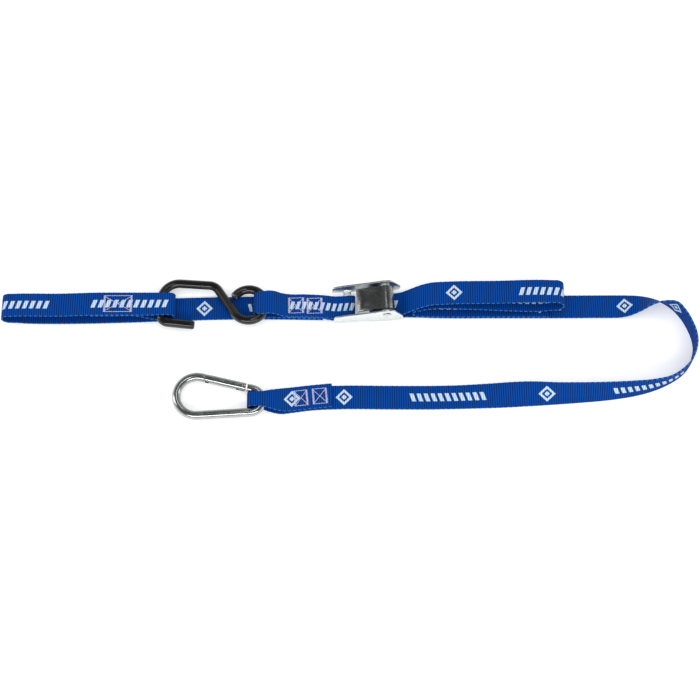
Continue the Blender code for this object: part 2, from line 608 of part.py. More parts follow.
def build_snap_body(parent, finish_material):
    """The bent rod, with a tongue at the nose and a flat tongue for the gate's pin."""
    shape = bmesh.new()
    sweep(shape, snap_path(), WIRE_DIAMETER / 2, sides=16)
    body = finish("snap_hook_body", shape, parent, finish_material)
    nose = bmesh.new()
    arm_box(nose, GATE_NOSE_U - 4.0, GATE_NOSE_U + 4.2, 2.6, -TONGUE_THICK / 2, TONGUE_THICK / 2)
    combine(body, finish("body_nose_tongue", nose, parent, None), "UNION")
    hinge = bmesh.new()
    arm_box(hinge, GATE_PIVOT_U - 4.2, GATE_PIVOT_U + 7.0, 3.6, -TONGUE_THICK / 2, TONGUE_THICK / 2)
    combine(body, finish("body_hinge_tongue", hinge, parent, None), "UNION")
    hole = bmesh.new()
    spot = arm_point(GATE_PIVOT_U)
    add_cylinder(hole, (spot.x, spot.y, -9.0), (spot.x, spot.y, 9.0), GATE_PIN_DIAMETER / 2 + GAP)
    combine(body, finish("body_hinge_hole", hole, parent, None), "DIFFERENCE")
    return body


def build_gate(parent, finish_material):
    """The gate tube about its pin: slotted at the nose, forked and bored at the hinge."""
    spot = arm_point(GATE_PIVOT_U)

    def moved(shape):
        bmesh.ops.translate(shape, vec=-spot, verts=shape.verts)
        return shape

    start = arm_point(GATE_NOSE_U + 0.4)
    end = arm_point(GATE_PIVOT_U + GATE_HEEL)
    rod = bmesh.new()
    sweep(rod, [start, (start + end) / 2, end], WIRE_DIAMETER / 2, sides=16)
    gate = finish("snap_hook_gate", moved(rod), parent, finish_material)
    slot = TONGUE_THICK / 2 + GAP
    for name, low, high in (("nose", GATE_NOSE_U - 2.0, GATE_NOSE_U + 5.0),
                            ("fork", GATE_PIVOT_U - 5.4, GATE_PIVOT_U + 9.0)):
        cut = bmesh.new()
        arm_box(cut, low, high, 9.0, -slot, slot)
        combine(gate, finish(f"gate_{name}_slot", moved(cut), parent, None), "DIFFERENCE")
    bore = bmesh.new()
    add_cylinder(bore, arm_point(GATE_PIVOT_U - 27.0), arm_point(GATE_PIVOT_U - 2.0), GATE_BORE / 2)
    combine(gate, finish("gate_bore", moved(bore), parent, None), "DIFFERENCE")
    hole = bmesh.new()
    add_cylinder(hole, (spot.x, spot.y, -9.0), (spot.x, spot.y, 9.0), GATE_PIN_DIAMETER / 2 + GAP)
    combine(gate, finish("gate_pin_hole", moved(hole), parent, None), "DIFFERENCE")
    return gate


def build_gate_inside(pivot_frame, body_frame, steel):
    """The gate's pin, the plunger that rides on the tongue, and the coil spring behind it."""
    spot = arm_point(GATE_PIVOT_U)
    reach = WIRE_DIAMETER / 2 - 0.4
    pin = bmesh.new()
    add_cylinder(pin, (0, 0, -reach), (0, 0, reach), GATE_PIN_DIAMETER / 2, sides=20)
    finish("gate_pin", pin, body_frame, steel, spot)
    plunger = bmesh.new()
    front = GATE_PIVOT_U - 4.2 - GAP - 1.2
    add_cylinder(plunger, arm_point(front - PLUNGER_LENGTH) - spot, arm_point(front) - spot,
                 GATE_BORE / 2 - GAP, sides=20)
    finish("gate_plunger", plunger, pivot_frame, steel)
    low, high = GATE_PIVOT_U - 26.0, front - PLUNGER_LENGTH - 0.8
    turns, count = 7, 7 * 12
    along = (arm_point(high) - arm_point(low)).normalized()
    side = Vector((0, 0, 1)).cross(along)
    path = []
    for index in range(count + 1):
        angle = math.tau * turns * index / count
        centre = arm_point(low + (high - low) * index / count)
        path.append(centre + (side * math.cos(angle) + Vector((0, 0, 1)) * math.sin(angle)) * 1.7 - spot)
    coil = bmesh.new()
    sweep(coil, path, 0.35, sides=6)
    finish("gate_spring", coil, pivot_frame, steel)


# ---------------------------------------------------------------- the whole tie-down

def stand_on_origin(root):
    """Moves everything so that the origin is under the middle of the whole piece."""
    bpy.context.view_layer.update()
    scene_pieces = bpy.context.evaluated_depsgraph_get()
    low = Vector((1e9, 1e9, 1e9))
    high = -low
    for piece in bpy.data.objects:
        if piece.type != "MESH" or piece.hide_render:
            continue
        shape = piece.evaluated_get(scene_pieces).to_mesh()
        for vert in shape.vertices:
            point = piece.matrix_world @ vert.co
            low = Vector(map(min, low, point))
            high = Vector(map(max, high, point))
    root.location = (-(low.x + high.x) / 2, -(low.y + high.y) / 2, -low.z)
    print("layout moved by (m):", [round(value, 6) for value in root.location])


def main():
    clear_scene()
    webbing = material("webbing_blue", (0.012, 0.07, 0.38), 0.75, 0.0)
    thread = material("thread_pale", (0.62, 0.58, 0.72), 0.8, 0.0)
    vinyl = material("vinyl_black", (0.012, 0.011, 0.010), 0.3, 0.0)
    plated = material("zinc_plate", (0.62, 0.65, 0.64), 0.3, 1.0)
    cast = material("cast_lever", (0.24, 0.25, 0.24), 0.35, 1.0)
    steel = material("hook_steel", (0.5, 0.52, 0.51), 0.25, 1.0)

    root = group_frame("tie_down", (0, 0, 0))
    build_main_strap(root, webbing)
    build_anchor_strap(root, webbing)
    build_soft_tie(root, webbing)

    over = FLOOR_LAYER + LAYER_PITCH
    seam_top = over + 2 * LAYER_PITCH + WEB_THICK / 2 + GAP
    flap_top = over + WEB_THICK / 2 + GAP
    tie_top = HOOK_HEIGHT + COAT_OUTER / 2 + GAP + 0.6 + WEB_THICK + GAP
    sewn_box("anchor_seam_a", (-56.0 + 0.5, 46.6), 17.0, 17.5, seam_top + 0.2, 1.0, root, thread)
    sewn_box("anchor_seam_b", (-36.5, 46.0), 17.0, 17.5, seam_top, 1.5, root, thread)
    sewn_box("loop_seam_a", (-49.5, -53.6), 15.0, 17.0, flap_top, 6.0, root, thread)
    sewn_box("loop_seam_b", (-30.5, -51.5), 16.0, 17.0, flap_top, 5.5, root, thread)
    sewn_box("soft_tie_seam", (-238.0, 44.9), 30.0, 18.5, tie_top, 0.0, root, thread)

    buckle = group_frame("buckle", (BUCKLE_X, BUCKLE_Y, 0.0), BUCKLE_YAW, root)
    build_buckle_frame(buckle, plated)
    build_pin(buckle, plated)
    build_washer("pin_washer_near", -1, buckle, plated)
    build_washer("pin_washer_far", 1, buckle, plated)
    cam_axis = group_frame("cam_axis", (PIVOT_U, 0.0, PIVOT_Z), 0.0, buckle)
    build_cam_lever(cam_axis, cast)
    build_cam_spring(cam_axis, steel)

    hook = group_frame("s_hook", (EYE_X, EYE_Y, HOOK_HEIGHT), 0.0, root)
    build_hook(hook, steel, vinyl)

    snap = group_frame("snap_hook", (SNAP_X, SNAP_Y, SNAP_HEIGHT), SNAP_YAW, root)
    build_snap_body(snap, steel)
    gate_axis = group_frame("gate_axis", arm_point(GATE_PIVOT_U), 0.0, snap)
    build_gate(gate_axis, steel)
    build_gate_inside(gate_axis, snap, steel)
    stand_on_origin(root)


main()
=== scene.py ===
# %% [markdown]
# # A cam-buckle tie-down, laid out flat
# This lesson dresses a small mechanical model: blue ribbed webbing, a soft tie, a vinyl-dipped S-hook,
# a zinc-plated cam buckle and a spring-gate hook. The metal pieces already have their true shape in the
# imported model, so they get better materials and a few finer meshes. The webbing is plain in the packed
# model, so it is woven here: every strap is built again along its own route, with ribs and thick edges.

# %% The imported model
from math import asin, atan2, copysign, cos, degrees, pi, radians, sin, sqrt, tan, tau

import bmesh
import bpy
from mathutils import Matrix, Vector


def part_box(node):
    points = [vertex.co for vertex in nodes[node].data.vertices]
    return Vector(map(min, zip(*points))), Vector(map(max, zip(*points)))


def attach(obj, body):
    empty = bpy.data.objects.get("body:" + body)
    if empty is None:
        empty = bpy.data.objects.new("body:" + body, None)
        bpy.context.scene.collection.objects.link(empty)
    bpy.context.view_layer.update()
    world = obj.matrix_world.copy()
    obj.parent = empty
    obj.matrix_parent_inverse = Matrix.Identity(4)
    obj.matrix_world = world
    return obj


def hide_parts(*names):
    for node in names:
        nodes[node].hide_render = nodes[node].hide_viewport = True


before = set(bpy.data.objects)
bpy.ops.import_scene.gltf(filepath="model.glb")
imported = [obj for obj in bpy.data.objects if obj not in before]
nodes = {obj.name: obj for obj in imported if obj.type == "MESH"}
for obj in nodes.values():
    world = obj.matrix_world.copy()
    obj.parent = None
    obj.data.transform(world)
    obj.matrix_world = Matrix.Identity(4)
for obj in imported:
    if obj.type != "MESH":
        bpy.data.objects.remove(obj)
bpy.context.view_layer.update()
MM = 0.001

# %% [markdown]
# ## Where things are
# The routes of the three straps are written in millimetres in the layout's own axes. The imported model
# was moved so that its origin lies under its middle, and SHIFT is that same move.

# %% Shared sizes
SHIFT = Vector((3.038, 1.345, 0.237))
WEB_WIDTH = 25.4
WEB_THICK = 1.6
LAYER_PITCH = WEB_THICK + 0.5
FLOOR_LAYER = WEB_THICK / 2
GAP = 0.3
COAT_OUTER = 9.2
ROD_DIAMETER = 7.4
EYE_RADIUS = (WEB_WIDTH + COAT_OUTER) / 2
EYE_X, EYE_Y = -104.2, 46.6
HOOK_HEIGHT = 2 * LAYER_PITCH - 0.2 + GAP / 2 + COAT_OUTER / 2
BUCKLE_X, BUCKLE_Y, BUCKLE_YAW = 18.0, 48.7, 3.5
STRAP_V = -1.9
PIVOT_U = 19.0
WIRE_DIAMETER = 9.0
BIG_RADIUS, SMALL_RADIUS, CENTRES_APART = 20.6, 12.6, 53.9
SNAP_X, SNAP_Y, SNAP_YAW = -154.6, -52.7, -5.0
SNAP_HEIGHT = WEB_THICK + GAP + 0.1 + WIRE_DIAMETER / 2
BASE_TOP = WEB_THICK + GAP + 2.0


def metres(point):
    """A layout point in millimetres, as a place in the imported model."""
    return (Vector(point) + SHIFT) * MM


# %% [markdown]
# ## Small helpers
# The same few moves come back in every step: link a new object, select just one, edit a whole mesh, and
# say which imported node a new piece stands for. They are written once here.

# %% Helpers for objects
def in_scene(name, data):
    """A new object for that mesh, curve, lamp or camera."""
    made = bpy.data.objects.new(name, data)
    bpy.context.scene.collection.objects.link(made)
    return made


def nothing_selected():
    if bpy.context.object and bpy.context.object.mode != "OBJECT":
        bpy.ops.object.mode_set(mode="OBJECT")
    bpy.ops.object.select_all(action="DESELECT")


def only(piece):
    nothing_selected()
    piece.select_set(True)
    bpy.context.view_layer.objects.active = piece


def edit_all():
    bpy.ops.object.mode_set(mode="EDIT")
    bpy.ops.mesh.select_all(action="SELECT")


def apply_place():
    bpy.ops.object.mode_set(mode="OBJECT")
    bpy.ops.object.transform_apply(location=True, rotation=True, scale=True)


def stand_in(piece, body, node):
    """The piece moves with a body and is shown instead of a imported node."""
    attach(piece, body)
    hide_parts(node)


# %% [markdown]
# ## Camera
# The tie-down lies on a white table and is seen from the front and well above it, about 22 degrees off
# straight down, through a mild telephoto lens. The camera is set first, so every later look is judged
# from the same place.

# %% Camera
CAMERA_TILT = radians(22.0)
CAMERA_DISTANCE = 1.69
VIEW_WIDTH = 0.7168
camera_data = bpy.data.cameras.new("view_camera")
camera = in_scene("view_camera", camera_data)
camera_data.sensor_width = 36.0
camera_data.lens = 36.0 * CAMERA_DISTANCE / VIEW_WIDTH
camera_data.clip_start = 0.05
back_off = Vector((0, -sin(CAMERA_TILT), cos(CAMERA_TILT)))
camera.location = metres((0, 0, 0)) + CAMERA_DISTANCE * back_off
camera.rotation_euler = (CAMERA_TILT, 0.0, 0.0)
bpy.context.scene.camera = camera
print("lens (mm):", round(camera_data.lens, 1))

# %% [markdown]
# ## Table and light
# Product pictures of webbing use a white sweep and big soft lamps. A bright world lights everything
# evenly, so the shadows are only a hint. Polished bar looks best under a dark ceiling with bright walls,
# so reflections see a sky that darkens upwards, and a strip lamp in front draws the long streaks. The
# strip overhead puts a band of light on the cam's barrel.

# %% Table and light
FLOOR_SIZE = 12.0
bpy.ops.mesh.primitive_plane_add(size=FLOOR_SIZE, location=(0, 0, -0.0003))
floor = bpy.context.active_object
floor.name = "table_top"
apply_place()
floor_material = bpy.data.materials.new("table_white")
floor_material.use_nodes = True
floor_shader = floor_material.node_tree.nodes["Principled BSDF"]
for label, value in (("Base Color", (0.93, 0.93, 0.93, 1)), ("Roughness", 0.8), ("Specular IOR Level", 0.1),
                     ("Emission Color", (1, 1, 1, 1)), ("Emission Strength", 0.22)):
    floor_shader.inputs[label].default_value = value
floor.data.materials.append(floor_material)

world = bpy.data.worlds.new("studio_fill")
bpy.context.scene.world = world
world.use_nodes = True
sky = world.node_tree
sky_height = sky.nodes.new("ShaderNodeSeparateXYZ")
sky.links.new(sky.nodes.new("ShaderNodeTexCoord").outputs["Generated"], sky_height.inputs["Vector"])
sky_ramp = sky.nodes.new("ShaderNodeMapRange")
sky_ramp.interpolation_type = "SMOOTHSTEP"
for label, number in (("From Min", 0.15), ("From Max", 0.75), ("To Min", 0.85), ("To Max", 0.13)):
    sky_ramp.inputs[label].default_value = number
sky.links.new(sky_height.outputs["Z"], sky_ramp.inputs["Value"])
sky_pick = sky.nodes.new("ShaderNodeMix")
sky_pick.inputs["A"].default_value = 0.86
sky.links.new(sky.nodes.new("ShaderNodeLightPath").outputs["Is Glossy Ray"], sky_pick.inputs["Factor"])
sky.links.new(sky_ramp.outputs["Result"], sky_pick.inputs["B"])
sky.links.new(sky_pick.outputs["Result"], sky.nodes["Background"].inputs["Strength"])
sky.nodes["Background"].inputs["Color"].default_value = (0.98, 0.99, 1.0, 1)

LAMPS = [("front_strip", (0.0, -1.45, 1.2), (2.2, 0.22), 15.0),
         ("left_box", (-1.5, 0.2, 0.8), (0.5, 1.2), 4.0),
         ("right_box", (1.5, 0.2, 0.8), (0.5, 1.2), 3.0),
         ("barrel_strip", (0.0, 0.25, 1.5), (0.14, 1.3), 2.2)]
for name, place, size, power in LAMPS:
    lamp_data = bpy.data.lights.new(name, "AREA")
    lamp_data.shape = "RECTANGLE"
    lamp_data.size, lamp_data.size_y = size
    lamp_data.energy = power
    lamp = in_scene(name, lamp_data)
    lamp.location = place
    lamp.rotation_euler = (-Vector(place)).to_track_quat("-Z", "Y").to_euler()
bpy.context.scene.view_settings.view_transform = "Standard"

# %% [markdown]
# ## Straps: one curve for each
# A strap never stretches sideways, so its whole shape is a line that its middle follows, a sideways
# direction and a width. Rows of those seven numbers are written down at every bend, in the order that
# the strap is threaded, and a Hermite curve fills in between them. It is the way a sail or a belt is
# drawn too, and it keeps the width true where a bent box or a cloth simulation would stretch it.

# %% A smooth curve through rows of numbers
def smooth_run(rows, step):
    """A smooth curve through rows whose first three numbers are a point, sampled by length."""
    last = len(rows) - 1
    spans = [(Vector(rows[i + 1][:3]) - Vector(rows[i][:3])).length for i in range(last)]
    slopes = [[(b - a) / spans[i] for a, b in zip(rows[i], rows[i + 1])] for i in range(last)]
    tangents = [slopes[0]]
    for index in range(1, last):
        before, after = spans[index - 1], spans[index]
        tangents.append([(p * after + q * before) / (before + after)
                         for p, q in zip(slopes[index - 1], slopes[index])])
    tangents.append(slopes[-1])
    fine = []
    for index, span in enumerate(spans):
        count = max(1, round(span / step))
        for part in range(count):
            t = part / count
            keep, gain = 2 * t ** 3 - 3 * t ** 2 + 1, 3 * t ** 2 - 2 * t ** 3
            out, back = span * (t ** 3 - 2 * t ** 2 + t), span * (t ** 3 - t ** 2)
            fine.append([a * keep + b * gain + m * out + n * back for a, b, m, n in
                         zip(rows[index], rows[index + 1], tangents[index], tangents[index + 1])])
    fine.append(list(rows[-1]))
    return fine


# %% Rows for flat straps, straps on edge, and folds
def flat_rows(points, sideways_y, width=WEB_WIDTH):
    """Rows for a strap that only bends up and down; a point may end with its own width."""
    return [(p[0], p[1], p[2], 0.0, sideways_y, 0.0, p[3] if len(p) > 3 else width) for p in points]


def on_edge_rows(points):
    """Rows for a strap that rolls up on one edge: x and y of the edge on the floor, lean in degrees."""
    rows = []
    for index, (x, y, lean) in enumerate(points):
        before = points[max(index - 1, 0)]
        after = points[min(index + 1, len(points) - 1)]
        run = Vector((after[0] - before[0], after[1] - before[1], 0.0)).normalized()
        inward = Vector((-run.y, run.x, 0.0))
        angle = radians(lean)
        sideways = inward * cos(angle) + Vector((0, 0, sin(angle)))
        centre = Vector((x, y, FLOOR_LAYER * cos(angle))) + sideways * WEB_WIDTH / 2
        rows.append((*centre, *sideways, WEB_WIDTH))
    return rows


def on_buckle(u, z, v=STRAP_V):
    """A point of a strap given in the buckle's own frame, in layout coordinates."""
    yaw = radians(BUCKLE_YAW)
    x = BUCKLE_X + u * cos(yaw) - v * sin(yaw)
    y = BUCKLE_Y + u * sin(yaw) + v * cos(yaw)
    return (x, y, z)


def fold(x, y, low, high, way, reach, y_high=None):
    """Points of a fold between two layer heights, its tip at x; way is +1 when the tip points to +X."""
    middle = (low + high) / 2
    radius = (high - low) / 2
    y_high = y if y_high is None else y_high
    points = [(x - way * (reach + 2.0), y, low)]
    for angle in range(-90, 91, 30):
        points.append((x - way * reach * (1 - cos(radians(angle))),
                       y + (y_high - y) * (angle + 90) / 180,
                       middle + radius * sin(radians(angle))))
    points.append((x - way * (reach + 2.0), y_high, high))
    return points


# %% [markdown]
# ## The long strap's way
# It starts at the sewn flap, goes round the eye of the spring-gate hook, runs along the floor, rolls up
# on one edge to make the turn at the right, comes back through the buckle and round its base bar, and
# ends in a tail that is folded twice on top.

# %% Route of the long strap
def main_strap_rows():
    over = FLOOR_LAYER + LAYER_PITCH
    top = SNAP_HEIGHT + WIRE_DIAMETER / 2 + GAP + WEB_THICK / 2
    pinch = 2 * (SMALL_RADIUS - WIRE_DIAMETER / 2) - 0.6
    loop_x = SNAP_X + CENTRES_APART * cos(radians(SNAP_YAW)) - 2.2
    loop_y = SNAP_Y + CENTRES_APART * sin(radians(SNAP_YAW)) + 0.1
    loop = [(-18.5, -50.3, over), (-40.0, -52.5, over), (-58.0, -54.6, over),
            (-70.0, -56.2, 0.45 * top, 24.0), (-81.0, loop_y + 0.3, 0.84 * top, 19.5),
            (-89.0, loop_y, top, pinch)]
    turn = [(*p, pinch) for p in reversed(fold(loop_x, loop_y, FLOOR_LAYER, top, -1, 5.6))]
    back = [(-89.0, loop_y, FLOOR_LAYER, pinch), (-81.0, loop_y - 0.6, FLOOR_LAYER, 19.5),
            (-70.0, -58.0, FLOOR_LAYER, 24.0), (-58.0, -56.0, FLOOR_LAYER),
            (-40.0, -53.6, FLOOR_LAYER), (-10.0, -52.1, FLOOR_LAYER), (40.0, -52.3, FLOOR_LAYER)]
    bend = [(81.0, -65.0, 0), (100.0, -64.7, 0), (140.0, -63.6, 7), (182.0, -61.4, 30), (212.2, -59.2, 50),
            (234.5, -57.4, 57), (267.1, -53.9, 66), (289.6, -49.8, 74), (306.2, -45.0, 82),
            (323.4, -37.3, 90), (336.5, -28.6, 90), (344.9, -19.0, 90), (349.6, -8.4, 90),
            (351.5, 1.1, 90), (350.6, 12.0, 90), (347.2, 22.9, 90), (342.0, 33.7, 90),
            (334.8, 43.5, 88), (325.2, 51.5, 70), (315.2, 56.2, 54), (302.9, 59.3, 32),
            (289.5, 60.5, 12), (279.0, 60.7, 2),
            (270.0, 60.7, 0), (261.0, 60.7, 0), (230.0, 60.5, 0)]
    base_left = PIVOT_U - 14.0
    strand = [(150.0, 47.7, FLOOR_LAYER), (90.0, 47.8, FLOOR_LAYER), (66.0, 48.6, FLOOR_LAYER),
              on_buckle(30.0, FLOOR_LAYER), on_buckle(12.0, FLOOR_LAYER)]
    over_base = BASE_TOP + GAP + WEB_THICK / 2
    radius = (over_base - FLOOR_LAYER) / 2
    wrap = [on_buckle(base_left - (radius + 0.3) * cos(radians(angle)),
                      FLOOR_LAYER + radius + radius * sin(radians(angle)))
            for angle in (-90, -45, 0, 45, 90)]
    out = [on_buckle(12.0, over_base), on_buckle(28.0, over_base), on_buckle(34.0, over_base + 1.0)]
    tail = [(60.0, 49.6, 11.4), (66.0, 50.6, 15.0), (73.0, 51.8, 18.6), (83.0, 53.2, 21.4),
            (98.0, 54.0, 22.0), (150.0, 55.0, 22.0), (198.0, 56.0, 22.3)]
    right_fold = list(reversed(fold(219.3, 53.0, 8.6, 22.0, 1, 6.6, 55.8)))
    second = [(195.0, 51.8, 8.4), (165.0, 51.4, 10.6), (120.0, 52.6, 12.2), (88.0, 53.4, 11.6),
              (76.0, 52.6, 10.2)]
    left_fold = list(reversed(fold(64.8, 48.6, over, 9.0, -1, 4.0, 51.8)))
    third = [(80.0, 48.2, over), (140.0, 47.9, over), (205.0, 47.9, over)]
    rows = flat_rows(loop + turn + back, 1.0)
    rows += on_edge_rows(bend)
    rows += flat_rows(strand + wrap + out + tail + right_fold + second + left_fold + third, -1.0)
    return rows


# %% [markdown]
# ## The two short straps
# The anchor strap holds the S-hook to the buckle's cross bar. The soft tie is sewn in with it, runs
# underneath to the far left, comes back over itself and ends in an eye that sits on the S-hook.

# %% Routes of the anchor strap and the soft tie
def anchor_strap_rows():
    low = FLOOR_LAYER + LAYER_PITCH
    middle = low + LAYER_PITCH
    high = middle + LAYER_PITCH
    over_hook = HOOK_HEIGHT + COAT_OUTER / 2 + GAP + WEB_THICK / 2
    bar_low = FLOOR_LAYER + 0.2
    bar_high = bar_low + WEB_THICK + 2.0 + 2 * GAP
    bar = [on_buckle(-16.0 + 2.6 * cos(radians(angle)),
                     (bar_low + bar_high) / 2 + (bar_high - bar_low) / 2 * sin(radians(angle)))
           for angle in (-90, -45, 0, 45, 90)]
    points = [(-64.0, 46.8, middle), (-46.0, 46.4, middle), (-29.0, 45.6, middle),
              (-22.0, 45.0, (middle + bar_low) / 2), (-15.0, 44.8, bar_low), on_buckle(-24.0, bar_low)]
    points += bar
    points += [on_buckle(-24.0, bar_high), (-15.0, 44.8, bar_high + 0.3), (-27.0, 45.4, high),
               (-46.0, 46.4, high), (-65.0, 46.8, high), (-71.0, 47.0, 0.64 * over_hook),
               (-77.0, 47.3, 0.92 * over_hook), (-84.0, 47.5, over_hook + 0.2)]
    dip = EYE_X + 5.6
    inside = EYE_RADIUS - COAT_OUTER / 2
    tight = 2 * sqrt(inside ** 2 - (dip + WEB_THICK / 2 - EYE_X) ** 2) - 5 * GAP
    for spot in reversed(fold(dip, EYE_Y, low, over_hook, -1, 5.6)):
        depth = 1.0 - min(1.0, (spot[0] - dip) / 5.6)
        points.append((*spot, WEB_WIDTH + (tight - WEB_WIDTH) * depth))
    points += [(-80.0, 47.3, low), (-60.0, 46.9, low), (-32.0, 45.8, low)]
    return flat_rows(points, 1.0)


def soft_tie_rows():
    under_rod = FLOOR_LAYER + LAYER_PITCH
    over_rod = HOOK_HEIGHT + COAT_OUTER / 2 + GAP + WEB_THICK / 2
    front = over_rod + 0.6
    flap = front - LAYER_PITCH
    points = [(-265.7, 44.7, flap), (-240.0, 44.9, flap), (-223.0, 45.0, flap),
              (-214.0, 45.0, 0.78 * flap), (-206.5, 45.0, 0.42 * flap), (-199.5, 45.0, under_rod)]
    points += [(*spot, 24.9) for spot in fold(-180.6, 45.4, under_rod, over_rod, 1, 5.6)]
    points += [(-204.0, 45.0, over_rod + 0.3), (-222.0, 44.9, front), (-262.0, 44.8, front),
               (-297.0, 43.7, front), (-340.0, 43.9, front - 0.3)]
    points += list(reversed(fold(-357.6, 42.6, FLOOR_LAYER, front - 0.6, -1, 6.4, 43.8)))
    points += [(-330.0, 41.6, FLOOR_LAYER), (-299.0, 41.3, FLOOR_LAYER), (-230.0, 42.7, FLOOR_LAYER),
               (-165.0, 45.2, FLOOR_LAYER), (-100.0, 46.4, FLOOR_LAYER), (-28.0, 45.6, FLOOR_LAYER)]
    return flat_rows(points, 1.0)


def length_of(rows):
    """Length of the strap in millimetres, along its middle."""
    fine = smooth_run(rows, 1.0)
    return sum((Vector(b[:3]) - Vector(a[:3])).length for a, b in zip(fine, fine[1:]))


ROUTES = {"main_strap": main_strap_rows(), "anchor_strap": anchor_strap_rows(),
          "soft_tie_strap": soft_tie_rows()}
for strap_name, strap_rows in ROUTES.items():
    print(strap_name, "length (mm):", round(length_of(strap_rows), 1))

# %% [markdown]
# ## Weaving a strap
# Real webbing has a rounded, slightly scalloped edge where the weft turns back, and fine ribs across its
# face. A ring of points follows the outline of that cross-section and is repeated every 0.65 mm along
# the route, a little wider or narrower with each turn of the weft. Each strap carries two UV maps:
# "weave" is distance along and across it in metres, and "marks" holds where in a woven mark a point is.

# %% Cross-section and mesh of a strap
WEAVE_STEP = 0.65
SCALLOP_PITCH = 5.2
SCALLOP_DEPTH = 0.24
RIB_PITCH = 2.3
YARN_PITCH = 1.25
RIB_HEIGHT = 0.07
NO_MARK = -9.0
EDGE_HIGHLIGHT_BAND = 0.0124
BARS = 11.0


def strap_outline():
    """Points of the cross-section: share of the half width, extra across in mm, share of half thickness."""
    shares = [-0.98, -0.86, -0.62, -0.34, 0.0, 0.34, 0.62, 0.86, 0.98]
    top = [(share, 0.0, 1.0) for share in shares]
    right = [(1.0, -0.22, 0.72), (1.0, 0.0, 0.0), (1.0, -0.22, -0.72)]
    bottom = [(share, 0.0, -1.0) for share in reversed(shares)]
    left = [(-1.0, 0.22, -0.72), (-1.0, 0.0, 0.0), (-1.0, 0.22, 0.72)]
    return top + right + bottom + left


def mark_spot(marks, face, along):
    """Where in a mark a point at this distance lies: 0 to 1 in a long mark, 2 to 3 in a short one."""
    for start, length, kind, mark_face in marks:
        if mark_face == face and start - 2.0 <= along <= start + length + 2.0:
            return kind + (along - start) / length
    return NO_MARK


def ring_frames(rows):
    """Centre, sideways half, normal and distance along for every station of a strap."""
    stations = smooth_run(rows, WEAVE_STEP)
    frames, along, previous = [], 0.0, None
    for index, row in enumerate(stations):
        centre = Vector(row[:3])
        ahead = Vector(stations[min(index + 1, len(stations) - 1)][:3])
        behind = Vector(stations[max(index - 1, 0)][:3])
        sideways = Vector(row[3:6]).normalized()
        normal = (ahead - behind).normalized().cross(sideways).normalized()
        along += (centre - previous).length if previous is not None else 0.0
        previous = centre
        frames.append((centre, sideways * row[6] / 2, normal, along))
    return frames


def weave_strap(name, rows, marks):
    """A strap's mesh with its two UV maps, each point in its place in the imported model."""
    outline = strap_outline()
    count = len(outline)
    frames = ring_frames(rows)
    points, across = [], []
    for centre, half, normal, along in frames:
        scallop = SCALLOP_DEPTH * abs(sin(pi * along / SCALLOP_PITCH)) - SCALLOP_DEPTH
        rib = RIB_HEIGHT * sin(tau * along / RIB_PITCH)
        side = half.normalized()
        for share, extra, rise in outline:
            edge = scallop if abs(share) == 1.0 else 0.0
            place = centre + half * share + side * (extra + copysign(edge, share))
            lift = (WEB_THICK / 2 - RIB_HEIGHT + (rib if abs(share) < 0.95 else 0.0)) * rise
            points.append(metres(place + normal * lift))
    faces = []
    for station in range(len(frames) - 1):
        here, there = station * count, (station + 1) * count
        for corner in range(count):
            after = (corner + 1) % count
            faces.append((here + corner, here + after, there + after, there + corner))
    last = (len(frames) - 1) * count
    faces.append(tuple(reversed(range(count))))
    faces.append(tuple(range(last, last + count)))
    mesh = bpy.data.meshes.new(name)
    mesh.from_pydata([tuple(p) for p in points], [], faces)
    weave = mesh.uv_layers.new(name="weave")
    mark_map = mesh.uv_layers.new(name="marks")
    for face in mesh.polygons:
        ends = face.loop_total > 4
        corners = [outline[vert % count] for vert in face.vertices]
        face_up = 1 if sum(rise for _, _, rise in corners) > 0 else -1
        edge = any(abs(share) == 1.0 for share, _, _ in corners)
        spots = [mark_spot(marks, face_up, frames[vert // count][3]) for vert in face.vertices]
        plain = edge or ends or NO_MARK in spots
        for loop, vert, spot in zip(face.loop_indices, face.vertices, spots):
            across = outline[vert % count][0] * WEB_WIDTH / 2 * MM
            weave.data[loop].uv = (frames[vert // count][3] * MM, across)
            mark_map.data[loop].uv = (NO_MARK if plain else spot, across)
    strap = in_scene(name, mesh)
    tidy = bmesh.new()
    tidy.from_mesh(mesh)
    bmesh.ops.recalc_face_normals(tidy, faces=tidy.faces)
    tidy.to_mesh(mesh)
    tidy.free()
    mesh.shade_smooth()
    print(name, "stations:", len(frames), "faces:", len(mesh.polygons))
    return strap


# %% [markdown]
# ## Marks woven into the straps
# Tie-down webbing carries a repeated woven mark. Here it is a plain maker's band of slanted bars, and a
# diamond between two bands. A long one and a short one repeat every 205 mm along each face of the strap.

# %% Placing the marks
LONG_MARK, SHORT_MARK, RHYTHM, LONG_AFTER = 78.0, 19.0, 205.0, 74.0
UP, DOWN = 1, -1


def mark_list(begin, end, face):
    """Marks on one face from a short mark at begin, long and short in turn until end."""
    marks = []
    start = begin
    while start < end:
        marks.append((start, SHORT_MARK, 2, face))
        if start + LONG_AFTER < end:
            marks.append((start + LONG_AFTER, min(LONG_MARK, end - start - LONG_AFTER), 0, face))
        start += RHYTHM
    return marks


STRAP_MARKS = {
    "main_strap": mark_list(181, 600, UP) + mark_list(662, 1440, UP) + [(31, SHORT_MARK, 2, DOWN)]
    + mark_list(198, 1440, DOWN),
    "anchor_strap": [(70, 68, 0, DOWN), (186, SHORT_MARK, 2, DOWN), (20, 60, 0, UP)],
    "soft_tie_strap": [(98, 80, 0, DOWN), (220, LONG_MARK, 0, DOWN), (323, 26, 0, UP),
                       (477, SHORT_MARK, 2, UP), (530, 60, 0, UP)],
}
straps = {}
for strap_name, strap_rows in ROUTES.items():
    straps[strap_name] = weave_strap("woven_" + strap_name, strap_rows, STRAP_MARKS[strap_name])
    stand_in(straps[strap_name], "strap", strap_name)

